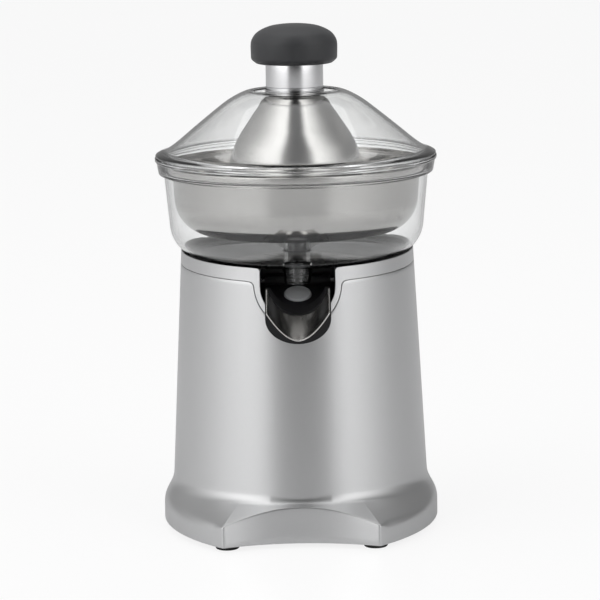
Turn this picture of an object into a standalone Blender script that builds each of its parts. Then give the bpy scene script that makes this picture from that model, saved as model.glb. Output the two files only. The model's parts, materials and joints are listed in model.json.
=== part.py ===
"""An electric citrus press with a domed lever-free press, in metres, +Z up, front towards -Y.

The drive shaft stands on the Z axis and the rubber feet rest on z = 0. Every piece is one object.
"""

import math

import bmesh
import bpy
from mathutils import Matrix, Vector

MM = 0.001
GAP = 0.3 * MM

# Body shell and plinth
FOOT_HEIGHT = 3.0 * MM
FOOT_RADIUS = 8.0 * MM
FOOT_INSET = 13.0 * MM
SHELL_WALL = 2.5 * MM
BODY_TOP_Z = 179.0 * MM
BODY_TOP_RADIUS = 79.4 * MM
BODY_BASE_RADIUS = 87.2 * MM
PLINTH_HEIGHT = 27.0 * MM
PLINTH_SHOULDER_HEIGHT = 14.5 * MM
PLINTH_SHOULDER_INSET = 4.0 * MM
PLINTH_HALF_WIDTH = 94.0 * MM
PLINTH_CORNER_X = 51.7 * MM
PLINTH_CORNER_Y = 103.0 * MM
BITE_DEPTH = 11.0 * MM
BITE_EDGE = 1.0 * MM
COLLAR_HEIGHT = 9.0 * MM
COLLAR_LIP = 0.5 * MM
FRONT_DIP = 3.4 * MM

# Front opening and its yoke
MOUTH_RADIUS = 25.0 * MM
MOUTH_FOOT_DROP = 30.0 * MM
YOKE_BAND = 3.8 * MM
YOKE_FILLET = 3.5 * MM

# Deck and what stands on it
DECK_RISE = 2.7 * MM
DECK_THICKNESS = 3.2 * MM
BOSS_RADIUS = 6.4 * MM
BOSS_HEIGHT = 18.3 * MM
BUSH_WALL = 1.1 * MM
POST_RADIUS = 4.0 * MM
SEAL_HEIGHT = 2.4 * MM

# Juice collector
BOWL_WALL = 2.0 * MM
BOWL_CORNER = 24.0 * MM
BOWL_HEIGHT = 68.7 * MM
BOWL_RIM_HEIGHT = 11.3 * MM
BOWL_RIM_RADIUS = 95.5 * MM
BOWL_STEP_INSET = 6.0 * MM
BOWL_BAND_INSET = 2.5 * MM
CHIMNEY_HEIGHT = 25.0 * MM
OUTLET_REACH = 57.0 * MM
OUTLET_TOP_RADIUS = 10.3 * MM
OUTLET_MOUTH_RADIUS = 8.5 * MM
OUTLET_DROP = 10.0 * MM
OUTLET_WALL = 1.5 * MM

# Strainer
SIEVE_WALL = 1.2 * MM
SIEVE_LIFT = 17.0 * MM
SIEVE_SLOTS = 8
SIEVE_SLOT_WIDTH = 3.0 * MM
SIEVE_RIM_DROP = 4.7 * MM
SIEVE_SIDE_GAP = 3.6 * MM
SIEVE_LIP_GAP = 1.0 * MM

# Reamer
REAMER_RADIUS = 33.0 * MM
REAMER_HEIGHT = 49.0 * MM
REAMER_RIBS = 10
REAMER_RIB_DEPTH = 0.07

# Lid
LID_WALL = 2.0 * MM
LID_HEIGHT = 44.4 * MM
LID_HOLE_RADIUS = 28.8 * MM
LID_SKIRT = 3.5 * MM
LID_RIM_INSET = 0.5 * MM
LID_SEAT_INSET = 5.5 * MM

# Press: dome, cup, ferrule and knob
DOME_RADIUS = 45.3 * MM
DOME_WALL = 1.0 * MM
DOME_RIM_LIFT = 18.0 * MM
DOME_HEIGHT = 74.7 * MM
NECK_RADIUS = 17.4 * MM
NECK_HEIGHT = 8.0 * MM
CUP_WALL = 2.0 * MM
CUP_CLEARANCE = 1.0 * MM
FERRULE_RADIUS = 19.4 * MM
FERRULE_HEIGHT = 22.4 * MM
KNOB_RADIUS = 29.3 * MM
KNOB_HEIGHT = 26.8 * MM
KNOB_OVERLAP = 2.6 * MM
PRESS_SCREW_RADIUS = 2.2 * MM

# Tilting spout
SPOUT_REACH = 101.0 * MM
SPOUT_SLOPE = math.radians(30.0)
SPOUT_TRAVEL = math.radians(24.0)
SPOUT_SIDE_GAP = 3.5 * MM
SPOUT_DEPTH = 20.0 * MM
SPOUT_CLEARANCE = 1.1 * MM
SPOUT_FLOOR_THICKNESS = 3.0 * MM
SPOUT_END_GAP = 2.5 * MM
SPOUT_WALL = 1.7 * MM
LINER_WALL = 0.8 * MM
LINER_SIDE_GAP = 0.5 * MM
LINER_LIFT = 1.6 * MM
LIP_POWER = 1.8
REAR_POWER = 3.0
SPOUT_PIVOT_BACK = 16.0 * MM
SPOUT_PIVOT_DROP = 10.7 * MM
PIVOT_PIN_RADIUS = 1.5 * MM
PAD_RADIUS = 9.2 * MM
PAD_THICKNESS = 2.2 * MM
PAD_PROUD = 1.0 * MM
RECESS_MARGIN = 1.0 * MM
RECESS_WALL = 1.5 * MM

# Drive shaft and its spring
SHAFT_RADIUS = 3.2 * MM
SHAFT_TOP_LIFT = 58.0 * MM
SHAFT_STROKE = 2.5 * MM
SHAFT_FLANGE_RADIUS = 7.0 * MM
SHAFT_FIT = 0.35 * MM
CHIMNEY_FIT = 0.8 * MM
HUB_FIT = 1.2 * MM
SPRING_WIRE_RADIUS = 0.6 * MM
SPRING_TURNS = 4.5

# Gear train, modules in metres of pitch diameter for each tooth
OUTPUT_TEETH = 48
PINION_TEETH = 11
SLOW_MODULE = 1.0 * MM
IDLER_TEETH = 44
MOTOR_TEETH = 10
FAST_MODULE = 0.8 * MM
GEAR_BACKLASH = 0.25
IDLER_BEARING = math.radians(50.0)
MOTOR_BEARING = math.radians(151.4)
IDLER_PIN_RADIUS = 1.5 * MM
GEARBOX_DROP = 29.5 * MM
GEARBOX_DEPTH = 27.0 * MM
GEARBOX_WALL = 2.3 * MM
GEARBOX_FLANGE = 6.0 * MM
GEARBOX_BASE_THICKNESS = 2.0 * MM
BASE_BOSS_HEIGHT = 6.0 * MM
GEAR_ROOM = 1.0 * MM
COVER_FLANGE_THICKNESS = 2.7 * MM

# Motor
STATOR_HALF_WIDTH = 28.0 * MM
STATOR_HALF_DEPTH = 25.0 * MM
STATOR_HEIGHT = 38.0 * MM
ROTOR_RADIUS = 14.6 * MM
AIR_GAP = 0.7 * MM
MOTOR_SHAFT_RADIUS = 2.4 * MM
BEARING_RADIUS = 5.0 * MM
FAN_RADIUS = 22.0 * MM
FAN_HUB_RADIUS = 8.0 * MM
FAN_BLADES = 8

# Base plate, cord inlet and fasteners
BASE_THICKNESS = 3.0 * MM
BASE_INSET = 3.3 * MM
GLAND_RADIUS = 5.0 * MM
GLAND_HEIGHT = 46.0 * MM
GLAND_BORE = 3.2 * MM
SCREW_RADIUS = 1.5 * MM
SCREW_HEAD_RADIUS = 3.0 * MM
SCREW_HEAD_HEIGHT = 1.8 * MM

# Heights that follow from the sizes above
PLINTH_TOP_Z = FOOT_HEIGHT + PLINTH_HEIGHT
SHOULDER_Z = FOOT_HEIGHT + PLINTH_SHOULDER_HEIGHT
BASE_Z = 2 * FOOT_HEIGHT
COLLAR_TOP_Z = BODY_TOP_Z + COLLAR_HEIGHT
DECK_Z = BODY_TOP_Z + DECK_RISE
BOWL_Z = DECK_Z + GAP
BOWL_TOP_Z = BOWL_Z + BOWL_HEIGHT
BOWL_STEP_Z = BOWL_TOP_Z - BOWL_RIM_HEIGHT
SIEVE_Z = BOWL_Z + SIEVE_LIFT
SIEVE_TOP_Z = BOWL_TOP_Z - SIEVE_RIM_DROP
REAMER_Z = SIEVE_Z + 4.0 * MM
DOME_Z = SIEVE_Z + DOME_RIM_LIFT
DOME_TOP_Z = DOME_Z + DOME_HEIGHT
LID_Z = BOWL_TOP_Z + GAP
FERRULE_Z = DOME_TOP_Z + 1.3 * MM
KNOB_Z = FERRULE_Z + FERRULE_HEIGHT - KNOB_OVERLAP
MOUTH_Z = BODY_TOP_Z - MOUTH_FOOT_DROP + MOUTH_RADIUS
GEARBOX_TOP_Z = DECK_Z - GEARBOX_DROP
GEARBOX_Z = GEARBOX_TOP_Z - GEARBOX_DEPTH
SLOW_GEAR_Z = GEARBOX_Z + 12.5 * MM
FAST_GEAR_Z = GEARBOX_Z + 4.0 * MM
GEAR_FACE = 6.5 * MM
SHAFT_BOTTOM_Z = GEARBOX_Z - 5.2 * MM
SHAFT_TOP_Z = DECK_Z + SHAFT_TOP_LIFT
SHAFT_FLANGE_Z = DECK_Z - 10.7 * MM
SHAFT_HEX_Z = GEARBOX_Z + BASE_BOSS_HEIGHT + SHAFT_STROKE + 1.0 * MM
MOTOR_TOP_Z = GEARBOX_Z - 8.0 * MM
STATOR_Z = MOTOR_TOP_Z - STATOR_HEIGHT

# Plan positions
SLOW_CENTRES = SLOW_MODULE * (OUTPUT_TEETH + PINION_TEETH) / 2
FAST_CENTRES = FAST_MODULE * (IDLER_TEETH + MOTOR_TEETH) / 2
IDLER_X = SLOW_CENTRES * math.cos(IDLER_BEARING)
IDLER_Y = SLOW_CENTRES * math.sin(IDLER_BEARING)
MOTOR_X = IDLER_X + FAST_CENTRES * math.cos(MOTOR_BEARING)
MOTOR_Y = IDLER_Y + FAST_CENTRES * math.sin(MOTOR_BEARING)
PIVOT_Y = SPOUT_PIVOT_BACK - OUTLET_REACH
PIVOT_Z = DECK_Z - SPOUT_PIVOT_DROP

# Sizes that follow from the front opening
SPOUT_HALF_WIDTH = MOUTH_RADIUS - SPOUT_SIDE_GAP
LINER_HALF_WIDTH = SPOUT_HALF_WIDTH - LINER_SIDE_GAP
RECESS_HALF_WIDTH = MOUTH_RADIUS + RECESS_MARGIN


def clear_scene():
    for thing in list(bpy.data.objects):
        bpy.data.objects.remove(thing, do_unlink=True)


def material(name, colour, metallic=0.0, roughness=0.5, transmission=0.0):
    made = bpy.data.materials.new(name)
    made.use_nodes = True
    shader = made.node_tree.nodes["Principled BSDF"]
    shader.inputs["Base Color"].default_value = (*colour, 1.0)
    shader.inputs["Metallic"].default_value = metallic
    shader.inputs["Roughness"].default_value = roughness
    shader.inputs["Transmission Weight"].default_value = transmission
    return made


def finish(name, bm, mat, place=(0, 0, 0)):
    """Makes the object from a bmesh, closed and facing outwards, with its origin at place."""
    bmesh.ops.remove_doubles(bm, verts=bm.verts, dist=0.001 * MM)
    bmesh.ops.recalc_face_normals(bm, faces=bm.faces)
    mesh = bpy.data.meshes.new(name)
    bm.to_mesh(mesh)
    bm.free()
    mesh.shade_smooth()
    mesh.set_sharp_from_angle(angle=math.radians(35))
    made = bpy.data.objects.new(name, mesh)
    made.location = place
    if mat is not None:
        made.data.materials.append(mat)
    bpy.context.scene.collection.objects.link(made)
    return made


def helper(made):
    """Marks an object as a cutter or a piece to be joined, which isn't part of the result."""
    made.hide_render = True
    made.display_type = "WIRE"
    return made


def combine(target, other, operation):
    modifier = target.modifiers.new(other.name, "BOOLEAN")
    modifier.operation = operation
    modifier.object = helper(other)
    modifier.solver = "EXACT"


def cut(target, *others):
    for other in others:
        combine(target, other, "DIFFERENCE")


def join(target, *others):
    for other in others:
        combine(target, other, "UNION")


def arc(centre, radius, start, end, steps):
    """Points along an arc in degrees, both ends included."""
    angles = [math.radians(start + (end - start) * k / steps) for k in range(steps + 1)]
    return [(centre[0] + radius * math.cos(a), centre[1] + radius * math.sin(a)) for a in angles]


def turned(name, profile, mat, place=(0, 0, 0), steps=24):
    """Spins a closed outline, or a chain that ends on the axis, of (radius, height) points about Z."""
    bm = bmesh.new()
    corners = [bm.verts.new((r, 0, z)) for r, z in profile]
    edges = [bm.edges.new(pair) for pair in zip(corners, corners[1:])]
    if profile[0][0] > 0 or profile[-1][0] > 0:
        edges.append(bm.edges.new((corners[-1], corners[0])))
    bmesh.ops.spin(
        bm,
        geom=corners + edges,
        cent=(0, 0, 0),
        axis=(0, 0, 1),
        angle=2 * math.pi,
        steps=steps,
        use_merge=True,
    )
    bmesh.ops.dissolve_degenerate(bm, edges=bm.edges, dist=0.001 * MM)
    return finish(name, bm, mat, place)


def rod(name, radius, low, high, mat, place=(0, 0, 0), steps=24):
    return turned(name, [(0, high), (radius, high), (radius, low), (0, low)], mat, place, steps)


def tube(name, inner, outer, low, high, mat, place=(0, 0, 0), steps=24):
    return turned(name, [(inner, high), (outer, high), (outer, low), (inner, low)], mat, place, steps)


def prism(name, outline, along, mat, place=(0, 0, 0)):
    """Carries a closed outline of 3-D points along a vector, with flat ends."""
    bm = bmesh.new()
    face = bm.faces.new([bm.verts.new(p) for p in outline])
    swept = bmesh.ops.extrude_face_region(bm, geom=[face])
    moved = [item for item in swept["geom"] if isinstance(item, bmesh.types.BMVert)]
    bmesh.ops.translate(bm, verts=moved, vec=along)
    return finish(name, bm, mat, place)


def plate(name, outline, low, high, mat, place=(0, 0, 0)):
    return prism(name, [(x, y, low) for x, y in outline], (0, 0, high - low), mat, place)


def box(name, low, high, mat, place=(0, 0, 0)):
    outline = [(low[0], low[1]), (high[0], low[1]), (high[0], high[1]), (low[0], high[1])]
    return plate(name, outline, low[2], high[2], mat, place)


def lofted(name, rings, mat, place=(0, 0, 0), closed=False):
    """Joins rings of equal count; the end rings are filled, or meet each other when closed."""
    bm = bmesh.new()
    made = [[bm.verts.new(p) for p in ring] for ring in rings]
    count = len(made[0])
    pairs = list(zip(made, made[1:]))
    if closed:
        pairs.append((made[-1], made[0]))
    for lower, upper in pairs:
        for k in range(count):
            after = (k + 1) % count
            bm.faces.new((lower[k], lower[after], upper[after], upper[k]))
    if not closed:
        bm.faces.new(made[0])
        bm.faces.new(list(reversed(made[-1])))
    return finish(name, bm, mat, place)


# ---------------------------------------------------------------- body shell

def body_radius(z):
    """The body is one straight cone from the plinth to the collar's top."""
    share = (BODY_TOP_Z - z) / (BODY_TOP_Z - PLINTH_TOP_Z)
    return BODY_TOP_RADIUS + (BODY_BASE_RADIUS - BODY_TOP_RADIUS) * share


def dipped(z, y):
    """Heights at the collar fall towards the front, over the front half only."""
    return z - FRONT_DIP * max(0.0, -y) / BODY_TOP_RADIUS


def footprint():
    """The plinth's outline: a hollowed front between two corners, bowed sides and a rounded rear."""
    bite_radius = (PLINTH_CORNER_X**2 + BITE_DEPTH**2) / (2 * BITE_DEPTH)
    bite_centre = (0, -PLINTH_CORNER_Y + BITE_DEPTH - bite_radius)
    half = math.degrees(math.asin(PLINTH_CORNER_X / bite_radius))
    front = arc(bite_centre, bite_radius, 90 + half, 90 - half, 12)
    run = PLINTH_HALF_WIDTH - PLINTH_CORNER_X
    side_radius = (PLINTH_CORNER_Y**2 + run**2) / (2 * run)
    sweep = math.degrees(math.asin(PLINTH_CORNER_Y / side_radius))
    right = arc((PLINTH_HALF_WIDTH - side_radius, 0), side_radius, -sweep, 0, 8)[1:]
    rear_reach = rear_depth()
    angles = [math.pi * k / 24 for k in range(1, 24)]
    rear = [(PLINTH_HALF_WIDTH * math.cos(a), rear_reach * math.sin(a)) for a in angles]
    left = [(-x, y) for x, y in reversed(right)]
    return front + right + rear + left


def rear_depth():
    """The rear reaches as far as the front's furthest point, so the foot print stays centred."""
    return max(PLINTH_CORNER_Y, SPOUT_REACH)


def inset_outline(points, inset):
    return [(x * (1 - inset / math.hypot(x, y)), y * (1 - inset / math.hypot(x, y))) for x, y in points]


def circle_like(points, radius):
    """A circle's points at the same bearings as the outline's."""
    return [(x * radius / math.hypot(x, y), y * radius / math.hypot(x, y)) for x, y in points]


def level(points, z):
    return [(x, y, z) for x, y in points]


def sloped(points, z):
    return [(x, y, dipped(z, y)) for x, y in points]


def mouth_outline(radius, top, fillet=0.0, shoulder=0.0):
    """The U of the front opening in X and Z, with its shoulder rounded outwards where asked."""
    centre = (0, MOUTH_Z)
    if not fillet:
        bowl = arc(centre, radius, 180, 360, 20)
        return [(-radius, top)] + bowl + [(radius, top)]
    drop = MOUTH_Z - (shoulder - fillet)
    across = math.sqrt((radius + fillet) ** 2 - drop**2)
    lean = math.degrees(math.atan2(-drop, across))
    bowl = arc(centre, radius, 180 - lean, 360 + lean, 20)
    bend = arc((across, shoulder - fillet), fillet, 180 + lean, 90, 4)[1:]
    right = bend + [(across + fillet, shoulder), (across + fillet, top)]
    left = [(-x, z) for x, z in reversed(right)]
    return left + bowl + right


def mouth_cutter(name, outline):
    front = -1.5 * BODY_BASE_RADIUS
    return prism(name, [(x, front, z) for x, z in outline], (0, BODY_BASE_RADIUS, 0), None)


def in_bite(x, y):
    """Whether a point of the outline lies on the hollowed front, between its corners."""
    return y < 0 and abs(x) * PLINTH_CORNER_Y < -y * PLINTH_CORNER_X * 0.999


def shoulder_height(reach):
    """The plinth's slope, where the hollowed front cuts it nearer to the wall."""
    corner = math.hypot(PLINTH_CORNER_X, PLINTH_CORNER_Y) - PLINTH_SHOULDER_INSET
    share = (max(reach, BODY_BASE_RADIUS) - BODY_BASE_RADIUS) / (corner - BODY_BASE_RADIUS)
    return PLINTH_TOP_Z + (SHOULDER_Z - PLINTH_TOP_Z) * min(1.0, share)


def shoulder_ring(outline, inwards, drop, wall=0.0):
    """A ring at the plinth's edge: shares of the edge's inset inwards and down, less a wall."""
    ring_points = []
    for x, y in outline:
        reach = math.hypot(x, y)
        inset = BITE_EDGE if in_bite(x, y) else PLINTH_SHOULDER_INSET
        height = shoulder_height(reach - inset) if in_bite(x, y) else SHOULDER_Z
        share = 1 - (inwards * inset + wall) / reach
        ring_points.append((x * share, y * share, height - drop * inset - wall))
    return ring_points


def make_housing(mat):
    outer = footprint()
    inner = inset_outline(outer, SHELL_WALL)
    top = BODY_TOP_Z - GAP
    rings = [
        level(outer, FOOT_HEIGHT),
        shoulder_ring(outer, 0.0, 1.0),
        shoulder_ring(outer, 0.3, 0.3),
        shoulder_ring(outer, 1.0, 0.0),
        level(circle_like(outer, BODY_BASE_RADIUS), PLINTH_TOP_Z),
        sloped(circle_like(outer, body_radius(top)), top),
        sloped(circle_like(outer, body_radius(top) - SHELL_WALL), top),
        level(circle_like(outer, BODY_BASE_RADIUS - SHELL_WALL), PLINTH_TOP_Z - SHELL_WALL),
        shoulder_ring(outer, 1.0, 0.0, SHELL_WALL),
        shoulder_ring(outer, 0.0, 1.0, SHELL_WALL),
        level(inner, FOOT_HEIGHT),
    ]
    housing = lofted("main_housing", rings, mat, closed=True)
    shoulder_z = dipped(BODY_TOP_Z, -BODY_TOP_RADIUS) - GAP
    outline = mouth_outline(MOUTH_RADIUS + YOKE_BAND + GAP, 2 * BODY_TOP_Z, YOKE_FILLET, shoulder_z)
    cut(housing, mouth_cutter("housing_mouth_cutter", outline))
    cut(housing, gland_cutter("housing_gland_cutter", GAP))
    return housing


def make_collar(mat):
    """The top band and the yoke below it, from one cone, less what lies under the parting line."""
    low = MOUTH_Z - MOUTH_RADIUS - YOKE_BAND - 2 * MM
    chamfer = SHELL_WALL - COLLAR_LIP
    bearings = arc((0, 0), 1.0, 0, 360, 64)[:-1]
    rings = [
        level(circle_like(bearings, body_radius(low)), low),
        sloped(circle_like(bearings, body_radius(COLLAR_TOP_Z)), COLLAR_TOP_Z),
        sloped(circle_like(bearings, body_radius(COLLAR_TOP_Z) - COLLAR_LIP), COLLAR_TOP_Z),
        sloped(circle_like(bearings, body_radius(COLLAR_TOP_Z) - SHELL_WALL), COLLAR_TOP_Z - chamfer),
        level(circle_like(bearings, body_radius(low) - SHELL_WALL), low),
    ]
    collar = lofted("top_collar", rings, mat, closed=True)
    wide = 1.5 * BODY_BASE_RADIUS
    profile = [(-wide, low - 5 * MM), (wide, low - 5 * MM), (wide, BODY_TOP_Z), (0, BODY_TOP_Z)]
    profile.append((-wide, dipped(BODY_TOP_Z, -wide)))
    below = prism("collar_parting_cutter", [(-wide, y, z) for y, z in profile], (2 * wide, 0, 0), None)
    shoulder_z = dipped(BODY_TOP_Z, -BODY_TOP_RADIUS)
    outline = mouth_outline(MOUTH_RADIUS + YOKE_BAND, 2 * BODY_TOP_Z, YOKE_FILLET, shoulder_z)
    cut(below, mouth_cutter("yoke_keep", outline))
    cut(collar, below, mouth_cutter("collar_mouth_cutter", mouth_outline(MOUTH_RADIUS, 2 * BODY_TOP_Z)))
    return collar


def make_base(mat):
    inner = inset_outline(footprint(), BASE_INSET)
    base = plate("base_plate", inner, BASE_Z, BASE_Z + BASE_THICKNESS, mat)
    for x, y in base_screw_places():
        top = 2 * BASE_Z + BASE_THICKNESS
        cut(base, rod("base_screw_hole", SCREW_RADIUS + GAP, 0, top, None, (x, y, 0), 12))
    return base


def foot_places():
    front = PLINTH_CORNER_Y - FOOT_INSET
    side = PLINTH_CORNER_X - 0.2 * FOOT_INSET
    return [(-side, -front), (side, -front), (-side, 0.75 * front), (side, 0.75 * front)]


def base_screw_places():
    return [(0.6 * x, 0.72 * y) for x, y in foot_places()]


def make_feet(mat):
    top = BASE_Z - GAP
    bevel = 0.8 * MM
    profile = [(0, top), (FOOT_RADIUS, top), (FOOT_RADIUS, bevel), (FOOT_RADIUS - bevel, 0), (0, 0)]
    for number, (x, y) in enumerate(foot_places(), 1):
        turned(f"foot_{number}", profile, mat, (x, y, 0), 16)


def screw(name, mat, place, shank, upright=True):
    """A pan-head screw whose head's bearing face is at its origin; the shank points up, or down."""
    way = 1 if upright else -1
    head = [(0, -way * SCREW_HEAD_HEIGHT), (SCREW_HEAD_RADIUS, -way * SCREW_HEAD_HEIGHT)]
    return turned(
        name,
        head + [(SCREW_HEAD_RADIUS, 0), (SCREW_RADIUS, 0), (SCREW_RADIUS, way * shank), (0, way * shank)],
        mat,
        place,
        12,
    )


def make_base_screws(mat):
    for number, (x, y) in enumerate(base_screw_places(), 1):
        screw(f"base_screw_{number}", mat, (x, y, BASE_Z - GAP), 8 * MM)


def gland_cutter(name, clearance):
    """The cord inlet's hole through the rear wall."""
    cutter = rod(name, GLAND_RADIUS + clearance, 0, 2 * BODY_BASE_RADIUS, None, (0, 0, GLAND_HEIGHT), 20)
    cutter.rotation_euler = (-math.pi / 2, 0, 0)
    return cutter


def make_gland(mat):
    """A bush through the rear wall with a flange outside, turned about the cord's own axis."""
    outside = body_radius(GLAND_HEIGHT) + GAP
    inside = outside - SHELL_WALL - 5 * MM
    profile = [
        (GLAND_BORE, outside + 3 * MM),
        (GLAND_RADIUS + 1.5 * MM, outside + 3 * MM),
        (GLAND_RADIUS + 2.5 * MM, outside + 0.6 * MM),
        (GLAND_RADIUS, outside + 0.6 * MM),
        (GLAND_RADIUS, inside),
        (GLAND_BORE, inside),
    ]
    gland = turned("cord_gland", profile, mat, (0, 0, GLAND_HEIGHT), 20)
    gland.rotation_euler = (-math.pi / 2, 0, 0)
    return gland


# ---------------------------------------------------------------- deck

def collar_inner(z):
    return body_radius(z) - SHELL_WALL


def recess_back():
    return PIVOT_Y + 6.5 * MM


def recess_front():
    """The recess box's front corners stay inside the body's round wall."""
    return -math.sqrt((collar_inner(DECK_Z) - 3 * GAP) ** 2 - RECESS_HALF_WIDTH**2)


def notch_cutter(name, clearance):
    low = (-RECESS_HALF_WIDTH - clearance, -2 * BODY_TOP_RADIUS, DECK_Z - 2 * DECK_THICKNESS)
    high = (RECESS_HALF_WIDTH + clearance, recess_back() + clearance, DECK_Z + DECK_THICKNESS)
    return box(name, low, high, None)


def make_deck(mat):
    """The dark floor under the collector, with the shaft's boss, and posts down to the gearbox."""
    edge = collar_inner(DECK_Z) - 2 * GAP
    bore = SHAFT_RADIUS + SHAFT_FIT + BUSH_WALL + GAP
    under = DECK_Z - DECK_THICKNESS
    profile = [
        (bore, DECK_Z + BOSS_HEIGHT),
        (BOSS_RADIUS, DECK_Z + BOSS_HEIGHT),
        (BOSS_RADIUS, DECK_Z),
        (edge, DECK_Z),
        (edge, under),
        (bore, under),
    ]
    deck = turned("top_deck", profile, mat, steps=36)
    posts = []
    for number, (x, y) in enumerate(post_places(), 1):
        low = GEARBOX_TOP_Z + GAP
        posts.append(rod(f"deck_post_{number}", POST_RADIUS, low, under + 1 * MM, None, (x, y, 0), 12))
    join(deck, *posts)
    cut(deck, notch_cutter("deck_notch", GAP))
    return deck


def post_places():
    """Over the gearbox, two beside the output shaft and one beyond the idler."""
    reach = 0.38 * SLOW_MODULE * OUTPUT_TEETH
    return [(-reach, -0.5 * reach), (reach, -0.5 * reach), (0.45 * IDLER_X, 1.65 * IDLER_Y)]


def make_bush(mat):
    inner = SHAFT_RADIUS + SHAFT_FIT
    outer = inner + BUSH_WALL
    return tube("shaft_bush", inner, outer, DECK_Z, DECK_Z + BOSS_HEIGHT - 1 * MM, mat)


def make_shaft_seal(mat):
    """A lip seal that rests on the boss and keeps juice off the bush."""
    inner = SHAFT_RADIUS + SHAFT_FIT
    low = DECK_Z + BOSS_HEIGHT + GAP
    top = low + SEAL_HEIGHT
    profile = [(inner, top), (inner + 1 * MM, top), (BOSS_RADIUS - 0.5 * MM, low), (inner, low)]
    return turned("shaft_seal", profile, mat)


# ---------------------------------------------------------------- bowl, strainer and lid

def bowl_corner_radius():
    """Where the bowl's round corner is centred, so that it nests in the collar's chamfer."""
    seat = body_radius(COLLAR_TOP_Z) - COLLAR_LIP - GAP
    rise = COLLAR_TOP_Z - BOWL_Z - BOWL_CORNER
    return seat - math.sqrt(BOWL_CORNER**2 - rise**2)


def bowl_lean():
    """The wall's lean from upright, in degrees."""
    run = BOWL_RIM_RADIUS - BOWL_STEP_INSET - bowl_corner_radius() - BOWL_CORNER
    return math.degrees(math.atan2(run, BOWL_STEP_Z - BOWL_Z - BOWL_CORNER))


def bowl_corner(offset, steps):
    centre = (bowl_corner_radius(), BOWL_Z + BOWL_CORNER)
    return arc(centre, BOWL_CORNER - offset, -90, -bowl_lean(), steps)


def make_collector(mat):
    """A clear bowl: rounded corner, leaning wall, a step out to the rim band, and a central chimney."""
    bore = BOSS_RADIUS + CHIMNEY_FIT
    rim = BOWL_RIM_RADIUS
    step = rim - BOWL_STEP_INSET
    outside = bowl_corner(0, 5) + [
        (step, BOWL_STEP_Z),
        (rim - BOWL_BAND_INSET, BOWL_STEP_Z),
        (rim, BOWL_TOP_Z),
        (rim - BOWL_WALL, BOWL_TOP_Z),
        (rim - BOWL_BAND_INSET - BOWL_WALL, BOWL_STEP_Z + BOWL_WALL),
        (step - BOWL_WALL, BOWL_STEP_Z + BOWL_WALL),
    ]
    inside = list(reversed(bowl_corner(BOWL_WALL, 4)))
    chimney_top = BOWL_Z + CHIMNEY_HEIGHT
    chimney = [
        (bore + BOWL_WALL, BOWL_Z + BOWL_WALL),
        (bore + BOWL_WALL, chimney_top),
        (bore, chimney_top),
        (bore, BOWL_Z),
    ]
    bowl = turned("juice_collector", outside + inside + chimney, mat, steps=32)
    mouth_z = BOWL_Z - OUTLET_DROP
    spigot = turned(
        "outlet_spigot",
        [
            (0, BOWL_Z + 1 * MM),
            (OUTLET_TOP_RADIUS, BOWL_Z + 1 * MM),
            (OUTLET_MOUTH_RADIUS, mouth_z),
            (0, mouth_z),
        ],
        None,
        (0, -OUTLET_REACH, 0),
        20,
    )
    bore_top = BOWL_Z + 2 * BOWL_WALL
    bore_low = mouth_z - 1 * MM
    drain = turned(
        "outlet_bore",
        [
            (0, bore_top),
            (OUTLET_TOP_RADIUS - OUTLET_WALL, bore_top),
            (OUTLET_MOUTH_RADIUS - OUTLET_WALL, bore_low),
            (0, bore_low),
        ],
        None,
        (0, -OUTLET_REACH, 0),
        20,
    )
    join(bowl, spigot)
    cut(bowl, drain)
    return bowl


def make_strainer(mat):
    """A pressed steel bowl inside the collector, with a slotted floor and an upturned centre."""
    side = BOWL_CORNER
    centre = (bowl_corner_radius() - SIEVE_SIDE_GAP, SIEVE_Z + side)
    top_inside = BOWL_RIM_RADIUS - BOWL_STEP_INSET - BOWL_WALL - SIEVE_SIDE_GAP
    lip = BOWL_RIM_RADIUS - BOWL_BAND_INSET - BOWL_WALL - SIEVE_LIP_GAP
    ledge = BOWL_STEP_Z + BOWL_WALL + GAP
    hub = BOSS_RADIUS + CHIMNEY_FIT + BOWL_WALL + HUB_FIT
    hub_top = BOWL_Z + CHIMNEY_HEIGHT + 1.5 * MM
    outside = arc(centre, side, -90, -bowl_lean(), 4) + [
        (top_inside, ledge),
        (lip, ledge),
        (lip, SIEVE_TOP_Z),
        (lip - SIEVE_WALL, SIEVE_TOP_Z),
        (lip - SIEVE_WALL, ledge + SIEVE_WALL),
        (top_inside - SIEVE_WALL, ledge + SIEVE_WALL),
    ]
    inside = list(reversed(arc(centre, side - SIEVE_WALL, -90, -bowl_lean(), 4)))
    middle = [
        (hub + SIEVE_WALL, SIEVE_Z + SIEVE_WALL),
        (hub + SIEVE_WALL, hub_top),
        (hub, hub_top),
        (hub, SIEVE_Z),
    ]
    strainer = turned("strainer_bowl", outside + inside + middle, mat, steps=32)
    for number in range(SIEVE_SLOTS):
        slot = box(
            f"sieve_slot_{number + 1}",
            (hub + 8 * MM, -SIEVE_SLOT_WIDTH / 2, SIEVE_Z - 1 * MM),
            (bowl_corner_radius() - SIEVE_SIDE_GAP - 3 * MM, SIEVE_SLOT_WIDTH / 2, SIEVE_Z + 2 * SIEVE_WALL),
            None,
        )
        slot.rotation_euler = (0, 0, 2 * math.pi * (number + 0.5) / SIEVE_SLOTS)
        cut(strainer, slot)
    return strainer


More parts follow.
